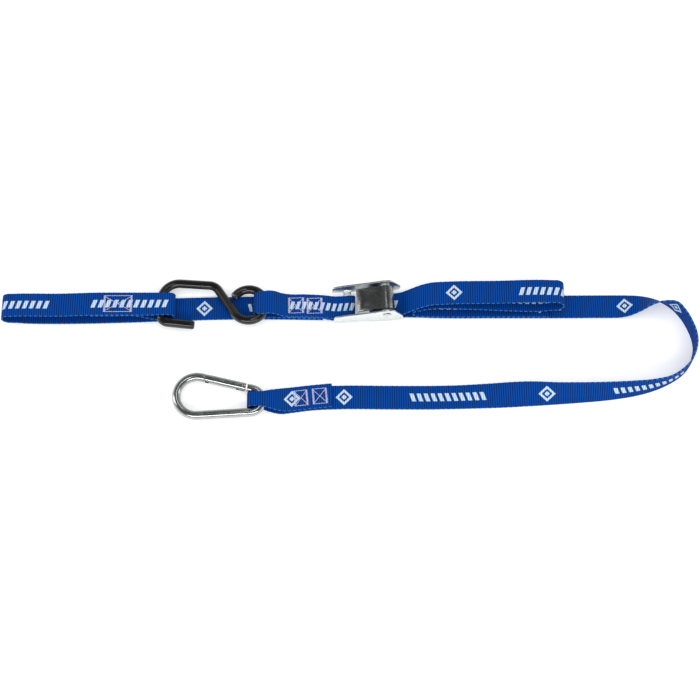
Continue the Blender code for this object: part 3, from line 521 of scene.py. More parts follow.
# %% [markdown]
# ## Sums in nodes
# Every finish below is made of small sums: a sine for a rib, a comparison for the edge of a mark. These
# helpers keep them readable. A number goes on the socket itself, and a socket is linked.

# %% Helpers for building node trees
def put(tree, socket, value):
    if isinstance(value, bpy.types.NodeSocket):
        tree.links.new(value, socket)
    else:
        socket.default_value = value


SIGNS = {"*": "MULTIPLY", "+": "ADD", "-": "SUBTRACT", "/": "DIVIDE", ">": "GREATER_THAN", "<": "LESS_THAN"}


def calc(tree, operation, first, second=0.0, third=0.0):
    node = tree.nodes.new("ShaderNodeMath")
    node.operation = SIGNS.get(operation, operation)
    for socket, value in zip(node.inputs, (first, second, third)):
        put(tree, socket, value)
    return node.outputs[0]


def mix_colour(tree, share, first, second):
    node = tree.nodes.new("ShaderNodeMix")
    node.data_type = "RGBA"
    put(tree, node.inputs["Factor"], share)
    put(tree, node.inputs["A"], first if isinstance(first, bpy.types.NodeSocket) else (*first, 1.0))
    put(tree, node.inputs["B"], second if isinstance(second, bpy.types.NodeSocket) else (*second, 1.0))
    return node.outputs["Result"]


def ramp_between(tree, value, low, high, out_low=0.0, out_high=1.0):
    node = tree.nodes.new("ShaderNodeMapRange")
    for name, number in (("From Min", low), ("From Max", high), ("To Min", out_low), ("To Max", out_high)):
        node.inputs[name].default_value = number
    put(tree, node.inputs["Value"], value)
    return node.outputs["Result"]


def noise(tree, vector, scale, detail=3.0, roughness=0.55):
    node = tree.nodes.new("ShaderNodeTexNoise")
    node.inputs["Scale"].default_value = scale
    node.inputs["Detail"].default_value = detail
    node.inputs["Roughness"].default_value = roughness
    put(tree, node.inputs["Vector"], vector)
    return node.outputs["Fac"]


def stretched(tree, vector, scale):
    """Coordinates squeezed along each axis, for grain that runs one way."""
    node = tree.nodes.new("ShaderNodeMapping")
    node.inputs["Scale"].default_value = scale
    put(tree, node.inputs["Vector"], vector)
    return node.outputs["Vector"]


def new_group(name, inputs, outputs):
    """A shader node group; inputs are (name, kind, value), outputs are (name, kind)."""
    tree = bpy.data.node_groups.new(name, "ShaderNodeTree")
    for label, kind, value in inputs:
        socket = tree.interface.new_socket(name=label, in_out="INPUT", socket_type="NodeSocket" + kind)
        if value is not None:
            socket.default_value = value
    for label, kind in outputs:
        tree.interface.new_socket(name=label, in_out="OUTPUT", socket_type="NodeSocket" + kind)
    return tree, tree.nodes.new("NodeGroupInput"), tree.nodes.new("NodeGroupOutput")


def use_group(tree, group, **values):
    node = tree.nodes.new("ShaderNodeGroup")
    node.node_tree = group
    for label, value in values.items():
        put(tree, node.inputs[label], value)
    return node


def new_finish(name, roughness=0.5, metallic=0.0):
    """A material with its Principled BSDF ready; returns material, tree and shader."""
    made = bpy.data.materials.new(name)
    made.use_nodes = True
    shader = made.node_tree.nodes["Principled BSDF"]
    shader.inputs["Roughness"].default_value = roughness
    shader.inputs["Metallic"].default_value = metallic
    return made, made.node_tree, shader


def bump(tree, shader, height, strength, distance):
    node = tree.nodes.new("ShaderNodeBump")
    node.inputs["Strength"].default_value = strength
    node.inputs["Distance"].default_value = distance
    tree.links.new(height, node.inputs["Height"])
    tree.links.new(node.outputs["Normal"], shader.inputs["Normal"])


def uv_of(tree, name):
    node = tree.nodes.new("ShaderNodeUVMap")
    node.uv_map = name
    return node.outputs["UV"]


def place_in_object(tree):
    return tree.nodes.new("ShaderNodeTexCoord").outputs["Object"]


def parts_of(tree, vector):
    node = tree.nodes.new("ShaderNodeSeparateXYZ")
    put(tree, node.inputs["Vector"], vector)
    return node.outputs["X"], node.outputs["Y"]


# %% [markdown]
# ## The woven webbing finish
# Polyester webbing is a plain weave with fat ribs across it. Each rib is a row of small humps where the
# warp yarn comes up, and the next row has its humps in the gaps, so the face looks like brickwork. One
# group makes that height from the "weave" map. A second group draws the woven marks from the "marks"
# map: slanted bars in the long one, and a diamond inside a diamond in the short one.

# %% Group: brickwork weave
def build_weave_group():
    tree, given, out = new_group("brickwork_weave", [("Vector", "Vector", None),
                                                     ("Rib", "Float", RIB_PITCH),
                                                     ("Yarn", "Float", YARN_PITCH)],
                                 [("Height", "Float"), ("Gap", "Float")])
    along, across = parts_of(tree, given.outputs["Vector"])
    rib_turn = calc(tree, "/", calc(tree, "*", along, 1000.0), given.outputs["Rib"])
    row = calc(tree, "FLOOR", rib_turn)
    rib = calc(tree, "ABSOLUTE", calc(tree, "SINE", calc(tree, "*", rib_turn, pi)))
    shift = calc(tree, "*", calc(tree, "MODULO", row, 2.0), 0.5)
    yarn_turn = calc(tree, "+", calc(tree, "/", calc(tree, "*", across, 1000.0),
                                               given.outputs["Yarn"]), shift)
    yarn = calc(tree, "ABSOLUTE", calc(tree, "SINE", calc(tree, "*", yarn_turn, pi)))
    height = calc(tree, "*", calc(tree, "POWER", rib, 0.6),
                      ramp_between(tree, calc(tree, "POWER", yarn, 0.6), 0.0, 1.0, 0.55, 1.0))
    put(tree, out.inputs["Height"], height)
    put(tree, out.inputs["Gap"], calc(tree, "-", 1.0, height))
    return tree


# %% Group: marks woven in
def build_mark_group():
    tree, given, out = new_group("woven_marks", [("Spot", "Float", 0.0), ("Across", "Float", 0.0)],
                                 [("Mark", "Float")])
    spot = given.outputs["Spot"]
    across = calc(tree, "*", given.outputs["Across"], 1000.0)
    height = calc(tree, "ABSOLUTE", across)
    slant = calc(tree, "MULTIPLY_ADD", across, 0.045, calc(tree, "*", spot, BARS))
    bars = calc(tree, ">", calc(tree, "FRACT", slant), 0.42)
    low_half = calc(tree, "<", height, 4.2)
    whole_bars = calc(tree, "*", calc(tree, ">", slant, 0.0),
                          calc(tree, "<", slant, BARS))
    in_long = calc(tree, "*", whole_bars, calc(tree, "<", spot, 1.5))
    long_mark = calc(tree, "*", calc(tree, "*", bars, low_half), in_long)
    side = calc(tree, "ABSOLUTE", calc(tree, "*", calc(tree, "-", spot, 2.5), SHORT_MARK))
    reach = calc(tree, "+", side, height)
    ring = calc(tree, "*", calc(tree, "<", reach, 8.6),
                    calc(tree, ">", reach, 5.4))
    core = calc(tree, "<", reach, 2.8)
    put(tree, out.inputs["Mark"], calc(tree, "MAXIMUM", long_mark, calc(tree, "MAXIMUM", ring, core)))
    return tree


weave_group = build_weave_group()
mark_group = build_mark_group()
print("groups:", weave_group.name, mark_group.name)


# %% Material: blue webbing
def blue_webbing():
    made, tree, shader = new_finish("blue_webbing", roughness=0.62)
    weave_uv = uv_of(tree, "weave")
    weave = use_group(tree, weave_group, Vector=weave_uv)
    along, across = parts_of(tree, weave_uv)
    spot, _ = parts_of(tree, uv_of(tree, "marks"))
    marks = use_group(tree, mark_group, Spot=spot, Across=across)
    patchy = noise(tree, place_in_object(tree), 38.0, 3.0)
    fibres = noise(tree, stretched(tree, weave_uv, (900.0, 3200.0, 1.0)), 1.0, 2.0)
    lit = mix_colour(tree, patchy, (0.0012, 0.047, 0.275), (0.0020, 0.064, 0.345))
    # Lighter streaks along the yarns: partly the yarn's own tone, partly painted highlight on the fibres.
    fibre_tone_and_highlight = mix_colour(tree, ramp_between(tree, fibres, 0.3, 0.7, 0.0, 0.45), lit, (0.0045, 0.094, 0.430))
    shaded = mix_colour(tree, ramp_between(tree, weave.outputs["Gap"], 0.1, 0.75, 0.0, 1.0), fibre_tone_and_highlight,
                        (0.0004, 0.008, 0.062))
    # Painted highlight: light-blue dashes near both edges, one to each scallop, stand in for light caught
    # by the edge's bumps.
    edge = calc(tree, ">", calc(tree, "ABSOLUTE", across), EDGE_HIGHLIGHT_BAND)
    dash = calc(tree, ">", calc(tree, "SINE", calc(tree, "*", along,
                    tau / (SCALLOP_PITCH * MM))), -0.1)
    edge_highlight = calc(tree, "*", calc(tree, "*", edge, dash), 0.50)
    with_edge_highlight = mix_colour(tree, edge_highlight, shaded, (0.085, 0.290, 0.640))
    marked = mix_colour(tree, calc(tree, "*", marks.outputs["Mark"],
                        ramp_between(tree, weave.outputs["Height"], 0.0, 0.75, 0.35, 0.96)), with_edge_highlight,
                        (0.560, 0.690, 0.800))
    tree.links.new(marked, shader.inputs["Base Color"])
    put(tree, shader.inputs["Roughness"], ramp_between(tree, fibres, 0.2, 0.8, 0.5, 0.78))
    bump(tree, shader, weave.outputs["Height"], 0.85, 0.00028)
    shader.inputs["Specular IOR Level"].default_value = 0.04
    return made


webbing_finish = blue_webbing()
for strap in straps.values():
    strap.data.materials.append(webbing_finish)

# %% [markdown]
# ## Sewn boxes
# A box-and-cross seam is how every layer of a tie-down is joined: a frame of lockstitches, two
# diagonals, and zigzag tacks at the ends that take the load. Each stitch is a short hump of thread, so
# one hump is modelled once, and a copy is laid at every needle hole, a little uneven as a machine is.

# %% Thread finish
def pale_thread():
    made, tree, shader = new_finish("pale_thread", roughness=0.6)
    place = place_in_object(tree)
    twist = noise(tree, stretched(tree, place, (2600.0, 5200.0, 1800.0)), 1.0, 2.0)
    worn = noise(tree, place, 240.0, 2.0)
    plain = mix_colour(tree, worn, (0.42, 0.39, 0.60), (0.72, 0.69, 0.80))
    tree.links.new(mix_colour(tree, ramp_between(tree, twist, 0.35, 0.7, 0.0, 0.5), plain,
                              (0.26, 0.27, 0.52)), shader.inputs["Base Color"])
    put(tree, shader.inputs["Roughness"], ramp_between(tree, worn, 0.2, 0.8, 0.48, 0.72))
    bump(tree, shader, twist, 0.5, 0.0002)
    shader.inputs["Sheen Weight"].default_value = 0.2
    return made


thread_finish = pale_thread()


# %% One stitch, and a line of them
def one_stitch(length):
    """A hump of thread: a sphere drawn out along X and flattened where it lies on the web."""
    nothing_selected()
    bpy.ops.mesh.primitive_uv_sphere_add(segments=8, ring_count=5, radius=1.0)
    stitch = bpy.context.active_object
    edit_all()
    bpy.ops.transform.rotate(value=pi / 2, orient_axis="Y", center_override=(0, 0, 0))
    bpy.ops.transform.resize(value=(length / 2 * MM, 0.36 * MM, 0.30 * MM))
    apply_place()
    return stitch


def seam_lines(length, height):
    """Stitch places of a box-and-cross seam: x, y and turn, about its middle."""
    spots = []
    half_l, half_h = length / 2, height / 2
    pitch = 2.5

    def line(x0, y0, x1, y1):
        run = Vector((x1 - x0, y1 - y0))
        count = max(1, round(run.length / pitch))
        turn = atan2(run.y, run.x)
        for index in range(count):
            share = (index + 0.5) / count
            spots.append((x0 + run.x * share, y0 + run.y * share, turn))

    line(-half_l, half_h, half_l, half_h)
    line(-half_l, -half_h, half_l, -half_h)
    line(-half_l + 1.2, half_h - 1.0, half_l - 1.2, -half_h + 1.0)
    line(-half_l + 1.2, -half_h + 1.0, half_l - 1.2, half_h - 1.0)
    for end in (-1, 1):
        step, count = 0.75, round(height / 0.75)
        for index in range(count):
            lean = 0.42 if index % 2 else -0.42
            spots.append((end * (half_l - 0.9), -half_h + step * (index + 0.5), lean))
    return spots


def sew(name, node, turn, under):
    """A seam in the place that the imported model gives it, each stitch pressed on the strap below."""
    low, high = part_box(node)
    middle = (Vector(low) + Vector(high)) / 2
    spread = Vector(high) - Vector(low)
    yaw = radians(turn)
    length = (spread.x - spread.y * sin(abs(yaw))) / cos(yaw) / MM
    height = (spread.y - spread.x * sin(abs(yaw))) / cos(yaw) / MM
    stitch = one_stitch(2.7)
    pattern = bmesh.new()
    for number, (x, y, lean) in enumerate(seam_lines(length - 0.8, height - 0.8)):
        wander = 0.10 * sin(number * 2.4)
        spot = Vector((x + wander, y + 0.10 * sin(number * 3.7), 0.0))
        spot.rotate(Matrix.Rotation(yaw, 3, "Z"))
        height_here = under(middle.x / MM + spot.x, middle.y / MM + spot.y)
        place = Vector((middle.x + spot.x * MM, middle.y + spot.y * MM, height_here))
        part = bmesh.new()
        part.from_mesh(stitch.data)
        part.transform(Matrix.Translation(place) @ Matrix.Rotation(yaw + lean, 4, "Z"))
        piece = bpy.data.meshes.new("one")
        part.to_mesh(piece)
        part.free()
        pattern.from_mesh(piece)
        bpy.data.meshes.remove(piece)
    bpy.data.objects.remove(stitch, do_unlink=True)
    mesh = bpy.data.meshes.new(name)
    pattern.to_mesh(mesh)
    pattern.free()
    mesh.shade_smooth()
    mesh.materials.append(thread_finish)
    seam = in_scene(name, mesh)
    stand_in(seam, "strap", node)
    print(name, "stitches:", len(mesh.polygons) // 40)
    return seam


def top_of(strap, node):
    """A function that gives the strap's upper surface under a seam, found by casting a ray down."""
    bpy.context.view_layer.update()

    def height(x, y):
        start = Vector((x * MM, y * MM, 0.1))
        hit, place, _, _ = strap.ray_cast(start, Vector((0, 0, -1)))
        return place.z + 0.12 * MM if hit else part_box(node)[0][2]
    return height


SEAMS = [("anchor_seam_a", "anchor_strap", 1.0), ("anchor_seam_b", "anchor_strap", 1.5),
         ("loop_seam_a", "main_strap", 6.0), ("loop_seam_b", "main_strap", 5.5),
         ("soft_tie_seam", "soft_tie_strap", 0.0)]
for seam_node, below, turn in SEAMS:
    sew("sewn_" + seam_node, seam_node, turn, top_of(straps[below], seam_node))

# %% [markdown]

# %% [markdown]
# ## Bent wire
# The S-hook and the spring-gate hook are both bent from round steel bar. The quickest true way to model
# bent bar is a curve: its points follow the bar's middle, a round bevel gives it thickness, and each
# point may be a little thinner, which rounds an end over. It is then made a mesh, as the rest is.

# %% Bend a bar along points
def bent_bar(name, points, radius, shares=None, sides=10):
    """A closed round bar, points in metres; shares make it thinner point by point."""
    line = bpy.data.curves.new(name, "CURVE")
    line.dimensions = "3D"
    line.bevel_depth = radius
    line.bevel_resolution = sides
    line.use_fill_caps = True
    line.twist_mode = "Z_UP"
    spline = line.splines.new("POLY")
    spline.points.add(len(points) - 1)
    for index, point in enumerate(points):
        spline.points[index].co = (*point, 1.0)
        spline.points[index].radius = shares[index] if shares else 1.0
    only(in_scene(name, line))
    bpy.ops.object.convert(target="MESH")
    bar = bpy.context.active_object
    edit_all()
    bpy.ops.mesh.remove_doubles(threshold=0.00001)
    bpy.ops.mesh.normals_make_consistent(inside=False)
    bpy.ops.object.mode_set(mode="OBJECT")
    bpy.ops.object.shade_smooth_by_angle(angle=radians(40))
    return bar


def rounded_ends(points, radius, start=0.0, end=0.0):
    """Adds points near each end, with shares that follow a quarter circle of the given rounding."""
    full = [Vector(p) for p in points]
    shares = [1.0] * len(full)
    for at_start, rounding in ((True, start), (False, end)):
        if rounding <= 0.0:
            continue
        tip, inner = (full[0], full[1]) if at_start else (full[-1], full[-2])
        way = (inner - tip).normalized()
        extra = []
        for step in range(8):
            angle = pi / 2 * step / 7
            extra.append((tip + way * rounding * (1 - cos(angle)),
                          1.0 - rounding / radius * (1 - sin(angle))))
        if at_start:
            full = [p for p, _ in extra] + full[1:]
            shares = [s for _, s in extra] + shares[1:]
        else:
            full = full[:-1] + [p for p, _ in reversed(extra)]
            shares = shares[:-1] + [s for _, s in reversed(extra)]
    return full, shares


# %% [markdown]
# ## S-hook centre line
# The hook starts at its blunt tip, turns twice round the open bowl, comes down the slanting shank and
# closes the eye. Straight runs joined by arcs are how a bar is bent on a jig, so it is drawn that way.

# %% S-hook route
def arc(centre, radius, start, end, steps):
    """Points on an arc in a plane, from start to end in degrees."""
    turns = [radians(start + (end - start) * index / steps) for index in range(steps + 1)]
    return [(centre[0] + radius * cos(t), centre[1] + radius * sin(t)) for t in turns]


def s_hook_route():
    corners = [((-159.2, 23.8), 0), ((-195.4, 27.8), 9.0), ((-193.6, 71.6), 18.0),
               ((-139.2, 68.0), 12.0)]
    touch = radians(213)
    touch_point = (EYE_X + EYE_RADIUS * cos(touch), EYE_Y + EYE_RADIUS * sin(touch))
    points = [Vector(corners[0][0])]
    for index in range(1, len(corners)):
        corner, radius = corners[index]
        before = Vector(corners[index - 1][0]) - Vector(corner)
        after_point = corners[index + 1][0] if index + 1 < len(corners) else touch_point
        after = Vector(after_point) - Vector(corner)
        half = before.angle(after) / 2
        reach = radius / tan(half)
        inward = (before.normalized() + after.normalized()).normalized()
        centre = Vector(corner) + inward * radius / sin(half)
        start = Vector(corner) + before.normalized() * reach - centre
        end = Vector(corner) + after.normalized() * reach - centre
        swing = start.angle_signed(end)
        for part in range(15):
            turned = start.copy()
            turned.rotate(Matrix.Rotation(-swing * part / 14, 2))
            points.append(centre + turned)
    for x, y in arc((EYE_X, EYE_Y), EYE_RADIUS, 213, 213 + 298, 72):
        points.append(Vector((x, y)))
    return [metres((p.x, p.y, HOOK_HEIGHT)) for p in points]


def shortened(points, start, end):
    """The route with its first and last points pulled in along it, in millimetres."""
    points = [p.copy() for p in points]
    points[0] += (points[1] - points[0]).normalized() * start * MM
    points[-1] += (points[-2] - points[-1]).normalized() * end * MM
    return points


# %% The dipped coat and the rod in it
hook_route = s_hook_route()
coat_radius, rod_radius = COAT_OUTER / 2 * MM, ROD_DIAMETER / 2 * MM
coat_points, coat_shares = rounded_ends(shortened(hook_route, 0.0, 1.0), coat_radius, 2.6 * MM, 0.6 * MM)
dipped_coat = bent_bar("dipped_coat", coat_points, coat_radius, coat_shares, sides=12)
stand_in(dipped_coat, "s_hook", "s_hook_coating")

SEEN_POINTS = 12    # the rod is modelled only where it comes out of the coat
rod_points, rod_shares = rounded_ends(shortened(hook_route, 1.4, 0.0), rod_radius, 0.0, 0.35 * MM)
bare_rod = bent_bar("bare_rod", rod_points[-SEEN_POINTS:], rod_radius, rod_shares[-SEEN_POINTS:])
stand_in(bare_rod, "s_hook", "s_hook_rod")
print("S-hook faces:", len(dipped_coat.data.polygons), len(bare_rod.data.polygons))

# %% [markdown]
# ## Spring-gate hook
# The body is one bent bar, open at the gate. Its nose and its hinge are pressed flat into tongues, and
# the gate is a short tube, slotted at the nose and forked at the hinge, so it can close round both.

# %% Hook body
ARM_LEAN = asin((BIG_RADIUS - SMALL_RADIUS) / CENTRES_APART)
GATE_NOSE_U, GATE_PIVOT_U, GATE_HEEL = 6.0, 45.0, 3.4
TONGUE_THICK, GATE_PIN_DIAMETER, GATE_BORE = 3.4, 2.5, 5.0


def arm_point(u):
    """A point of the gate arm's centre line in the hook's own frame, u along the hook."""
    start = (BIG_RADIUS * sin(ARM_LEAN), BIG_RADIUS * cos(ARM_LEAN))
    return Vector((u, start[1] - (u - start[0]) * tan(ARM_LEAN), 0.0))


def in_snap(point):
    """A point of the hook's own frame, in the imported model."""
    turned = Vector(point)
    turned.rotate(Matrix.Rotation(radians(SNAP_YAW), 3, "Z"))
    return metres(turned + Vector((SNAP_X, SNAP_Y, SNAP_HEIGHT)))


def snap_route():
    lean = degrees(ARM_LEAN)
    points = [arm_point(GATE_NOSE_U)]
    points += [Vector((x, y, 0)) for x, y in arc((0, 0), BIG_RADIUS, 90 - lean, 270 + lean, 72)]
    points += [Vector((x, y, 0))
               for x, y in arc((CENTRES_APART, 0), SMALL_RADIUS, -90 + lean, 90 - lean, 48)]
    points.append(arm_point(GATE_PIVOT_U + 5.0))
    return [in_snap(p) for p in points]


def arm_matrix(u):
    """Where u is along the arm, with X along it, as a matrix in metres."""
    spin = Matrix.Rotation(radians(SNAP_YAW) - ARM_LEAN, 4, "Z")
    return Matrix.Translation(in_snap(arm_point(u))) @ spin


def arm_block(name, u_low, u_high, half_side, half_thick, rounding):
    """A bevelled block on the arm, for a tongue."""
    nothing_selected()
    bpy.ops.mesh.primitive_cube_add(size=1.0)
    block = bpy.context.active_object
    block.name = name
    length = (u_high - u_low) / cos(ARM_LEAN)
    edit_all()
    bpy.ops.transform.resize(value=(length * MM, 2 * half_side * MM, 2 * half_thick * MM))
    if rounding > 0.0:
        bpy.ops.mesh.bevel(offset=rounding * MM, segments=3, affect="EDGES")
    block.matrix_world = arm_matrix((u_low + u_high) / 2)
    apply_place()
    bpy.ops.object.shade_smooth_by_angle(angle=radians(40))
    return block


def join(target, others):
    only(target)
    for piece in others:
        piece.select_set(True)
    bpy.ops.object.join()


wire_radius = WIRE_DIAMETER / 2 * MM
body_points, body_shares = rounded_ends(snap_route(), wire_radius, 0.5 * MM, 0.5 * MM)
hook_body = bent_bar("gate_hook_body", body_points, wire_radius, body_shares, sides=12)
nose = arm_block("nose_tongue", GATE_NOSE_U - 4.0, GATE_NOSE_U + 4.2, 2.6, TONGUE_THICK / 2, 0.5)
hinge = arm_block("hinge_tongue", GATE_PIVOT_U - 4.2, GATE_PIVOT_U + 7.0, 3.6, TONGUE_THICK / 2, 0.5)
join(hook_body, [nose, hinge])
stand_in(hook_body, "snap_hook", "snap_hook_body")


# %% Gate, with its slots cut by booleans
def cut_away(piece, tool):
    """Takes one shape out of another and removes the tool."""
    only(piece)
    step = piece.modifiers.new("cut", "BOOLEAN")
    step.operation = "DIFFERENCE"
    step.solver = "EXACT"
    step.object = tool
    bpy.ops.object.modifier_apply(modifier="cut")
    bpy.data.objects.remove(tool, do_unlink=True)


def drill(piece, diameter, depth, matrix):
    """Cuts a round hole, its axis along the matrix's Z."""
    nothing_selected()
    bpy.ops.mesh.primitive_cylinder_add(vertices=32, radius=diameter / 2 * MM, depth=depth * MM)
    tool = bpy.context.active_object
    tool.matrix_world = matrix
    cut_away(piece, tool)


gate_line = [in_snap(arm_point(u)) for u in (GATE_NOSE_U + 0.4, 15.0, 25.0, 35.0, GATE_PIVOT_U + GATE_HEEL)]
gate_points, gate_shares = rounded_ends(gate_line, wire_radius, 0.5 * MM, 0.5 * MM)
gate = bent_bar("gate_tube", gate_points, wire_radius, gate_shares, sides=12)
slot_half = TONGUE_THICK / 2 + GAP
cut_away(gate, arm_block("nose_slot", GATE_NOSE_U - 2.0, GATE_NOSE_U + 5.0, 9.0, slot_half, 0.0))
cut_away(gate, arm_block("fork_slot", GATE_PIVOT_U - 5.4, GATE_PIVOT_U + 9.0, 9.0, slot_half, 0.0))
drill(gate, GATE_BORE, 24.0, arm_matrix(GATE_PIVOT_U - 15.0) @ Matrix.Rotation(pi / 2, 4, "Y"))
drill(gate, GATE_PIN_DIAMETER + GAP, 18.0, arm_matrix(GATE_PIVOT_U))
only(gate)
bpy.ops.object.shade_smooth_by_angle(angle=radians(35))
stand_in(gate, "gate", "snap_hook_gate")
print("hook body and gate faces:", len(hook_body.data.polygons), len(gate.data.polygons))

# %% [markdown]
# ## Stamped and cast buckle parts
# The buckle's frame, its lever, the rivet and the washers already have their true shape, but a pressed
# edge is never a knife edge. Each gets a copy whose loose triangles are merged into flat faces again,
# and a small bevel round every edge, which is what catches the light on real plated steel.

# %% Copies with softened edges
def softened(node, name, body, width, segments=3):
    copy = nodes[node].copy()
    copy.data = nodes[node].data.copy()
    copy.name = name
    copy.parent = None
    for key in list(copy.keys()):
        del copy[key]
    bpy.context.scene.collection.objects.link(copy)
    only(copy)
    edit_all()
    bpy.ops.mesh.remove_doubles(threshold=0.000002)
    bpy.ops.mesh.dissolve_limited(angle_limit=radians(1.0))
    bpy.ops.object.mode_set(mode="OBJECT")
    soft = copy.modifiers.new("soft_edge", "BEVEL")
    soft.width = width * MM
    soft.segments = segments
    soft.limit_method = "ANGLE"
    soft.angle_limit = radians(38.0)
    bpy.ops.object.modifier_apply(modifier="soft_edge")
    bpy.ops.object.shade_smooth_by_angle(angle=radians(32))
    stand_in(copy, body, node)
    print(name, "faces:", len(copy.data.polygons))
    return copy


frame_shell = softened("buckle_frame", "buckle_shell", "strap", 0.34)
thumb_lever = softened("cam_lever", "thumb_lever", "cam", 0.42)
pivot_rivet = softened("cam_pivot_pin", "pivot_rivet", "strap", 0.22)
near_washer = softened("pin_washer_near", "near_washer", "strap", 0.08, 2)
far_washer = softened("pin_washer_far", "far_washer", "strap", 0.08, 2)
hinge_pin = softened("gate_pin", "hinge_pin", "snap_hook", 0.3)

# %% [markdown]
# ## Metal and vinyl finishes
# Plated steel is never one grey. It has a rolling grain that runs along the sheet, soft cloudy patches
# where the plating is thicker, and bright rubbed edges. These three are groups, so that the buckle, the
# lever, the hook and the rivet can share them, each with its own amounts.

# %% Group: grain that runs one way
def build_grain_group():
    tree, given, out = new_group("rolled_grain", [("Vector", "Vector", None), ("Fine", "Float", 1.0)],
                                 [("Height", "Float"), ("Streak", "Float")])
    fine = tree.nodes.new("ShaderNodeVectorMath")
    fine.operation = "SCALE"
    put(tree, fine.inputs[0], given.outputs["Vector"])
    put(tree, fine.inputs["Scale"], given.outputs["Fine"])
    lines = noise(tree, stretched(tree, fine.outputs["Vector"], (60.0, 2400.0, 2400.0)), 1.0, 3.0)
    broad = noise(tree, stretched(tree, fine.outputs["Vector"], (25.0, 420.0, 420.0)), 1.0, 2.0)
    put(tree, out.inputs["Height"], lines)
    put(tree, out.inputs["Streak"], ramp_between(tree, calc(tree, "+", lines, broad), 0.7, 1.3))
    return tree


# %% Group: rubbed edges
def build_edge_group():
    tree, given, out = new_group("rubbed_edges", [("Vector", "Vector", None), ("Amount", "Float", 1.0)],
                                 [("Mask", "Float")])
    bend = tree.nodes.new("ShaderNodeNewGeometry").outputs["Pointiness"]
    sharp = ramp_between(tree, bend, 0.505, 0.56)
    broken = ramp_between(tree, noise(tree, given.outputs["Vector"], 420.0, 4.0), 0.35, 0.62)
    put(tree, out.inputs["Mask"], calc(tree, "*", calc(tree, "*", sharp, broken),
                                           given.outputs["Amount"]))
    return tree


# %% Group: handling marks
def build_handling_group():
    tree, given, out = new_group("handling_marks", [("Vector", "Vector", None), ("Low", "Float", 0.2),
                                                    ("High", "Float", 0.4)],
                                 [("Roughness", "Float"), ("Cloud", "Float")])
    cloud = noise(tree, given.outputs["Vector"], 85.0, 4.0)
    smear = noise(tree, stretched(tree, given.outputs["Vector"], (300.0, 900.0, 500.0)), 1.0, 3.0)
    share = ramp_between(tree, calc(tree, "+", cloud, smear), 0.75, 1.25)
    spread = calc(tree, "-", given.outputs["High"], given.outputs["Low"])
    put(tree, out.inputs["Roughness"], calc(tree, "MULTIPLY_ADD", share, spread, given.outputs["Low"]))
    put(tree, out.inputs["Cloud"], cloud)
    return tree


grain_group, edge_group, handling_group = build_grain_group(), build_edge_group(), build_handling_group()


# %% A plated metal with its own colours and amounts
def plated(name, deep, light, worn, low, high, wear, grain_strength, fine=1.0, axis_turn=0.0):
    made, tree, shader = new_finish(name, metallic=1.0)
    place = place_in_object(tree)
    turned = tree.nodes.new("ShaderNodeMapping")
    turned.inputs["Rotation"].default_value = (0.0, 0.0, axis_turn)
    put(tree, turned.inputs["Vector"], place)
    grain = use_group(tree, grain_group, Vector=turned.outputs["Vector"], Fine=fine)
    edges = use_group(tree, edge_group, Vector=place, Amount=wear)
    marks = use_group(tree, handling_group, Vector=place, Low=low, High=high)
    clouded = mix_colour(tree, marks.outputs["Cloud"], deep, light)
    streaked = mix_colour(tree, calc(tree, "*", grain.outputs["Streak"], 0.35), clouded, light)
    tree.links.new(mix_colour(tree, edges.outputs["Mask"], streaked, worn), shader.inputs["Base Color"])
    rubbed = calc(tree, "*", edges.outputs["Mask"], -0.12)
    put(tree, shader.inputs["Roughness"], calc(tree, "+", marks.outputs["Roughness"], rubbed))
    bump(tree, shader, grain.outputs["Height"], grain_strength, 0.00004)
    return made


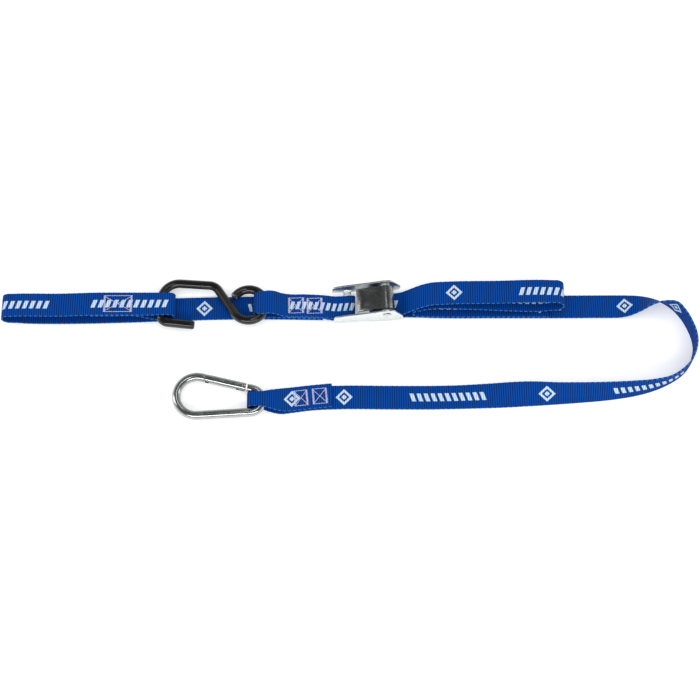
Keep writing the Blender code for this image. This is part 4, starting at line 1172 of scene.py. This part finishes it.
buckle_turn = -radians(BUCKLE_YAW)
zinc_plate = plated("bright_zinc_plate", (0.61, 0.645, 0.64), (0.73, 0.765, 0.755), (0.92, 0.93, 0.92),
                    0.26, 0.36, 0.35, 0.07, 1.0, buckle_turn)
lever_finish = plated("brushed_lever", (0.12, 0.125, 0.124), (0.20, 0.207, 0.203), (0.50, 0.52, 0.51),
                      0.24, 0.34, 0.6, 0.10, 1.0, buckle_turn + pi / 2)
hook_finish = plated("drawn_hook_steel", (0.34, 0.35, 0.347), (0.45, 0.46, 0.455), (0.78, 0.78, 0.77),
                     0.12, 0.22, 0.5, 0.06, 0.8, -radians(SNAP_YAW))
rivet_finish = plated("formed_rivet", (0.46, 0.47, 0.45), (0.66, 0.67, 0.64), (0.90, 0.90, 0.88),
                      0.24, 0.42, 1.0, 0.3, 1.4)
spring_finish = plated("spring_wire", (0.30, 0.31, 0.32), (0.52, 0.53, 0.54), (0.80, 0.80, 0.80),
                       0.22, 0.38, 0.5, 0.3, 1.6)
sawn_finish = plated("sawn_rod_end", (0.60, 0.59, 0.56), (0.82, 0.81, 0.78), (0.95, 0.95, 0.93),
                     0.30, 0.50, 0.8, 0.6, 2.0)


# %% Dipped vinyl
def dipped_vinyl():
    made, tree, shader = new_finish("dipped_vinyl", roughness=0.2)
    place = place_in_object(tree)
    marks = use_group(tree, handling_group, Vector=place, Low=0.07, High=0.13)
    runs = noise(tree, place, 120.0, 2.0)
    peel = noise(tree, place, 900.0, 2.0)
    specks = ramp_between(tree, noise(tree, place, 2600.0, 1.0), 0.66, 0.74)
    body = mix_colour(tree, marks.outputs["Cloud"], (0.003, 0.0028, 0.0025), (0.007, 0.0065, 0.0058))
    tree.links.new(mix_colour(tree, calc(tree, "*", specks, 0.12), body, (0.05, 0.047, 0.043)),
                   shader.inputs["Base Color"])
    put(tree, shader.inputs["Roughness"], marks.outputs["Roughness"])
    bump(tree, shader, calc(tree, "+", runs, calc(tree, "*", peel, 0.05)), 0.05, 0.0006)
    shader.inputs["Specular IOR Level"].default_value = 0.65
    return made


vinyl_finish = dipped_vinyl()


# %% Give every metal piece its finish
def dress(piece, finish):
    if len(piece.material_slots) == 0:
        piece.data.materials.append(finish)
    for slot in piece.material_slots:
        slot.link = "OBJECT" if piece.name in nodes else "DATA"
        slot.material = finish


for piece, finish in ((frame_shell, zinc_plate), (near_washer, zinc_plate), (far_washer, zinc_plate),
                      (pivot_rivet, rivet_finish), (thumb_lever, lever_finish), (hook_body, hook_finish),
                      (gate, hook_finish), (hinge_pin, rivet_finish), (dipped_coat, vinyl_finish),
                      (bare_rod, sawn_finish), (nodes["cam_spring"], spring_finish),
                      (nodes["gate_spring"], spring_finish), (nodes["gate_plunger"], rivet_finish)):
    dress(piece, finish)
print("dressed metal and vinyl")
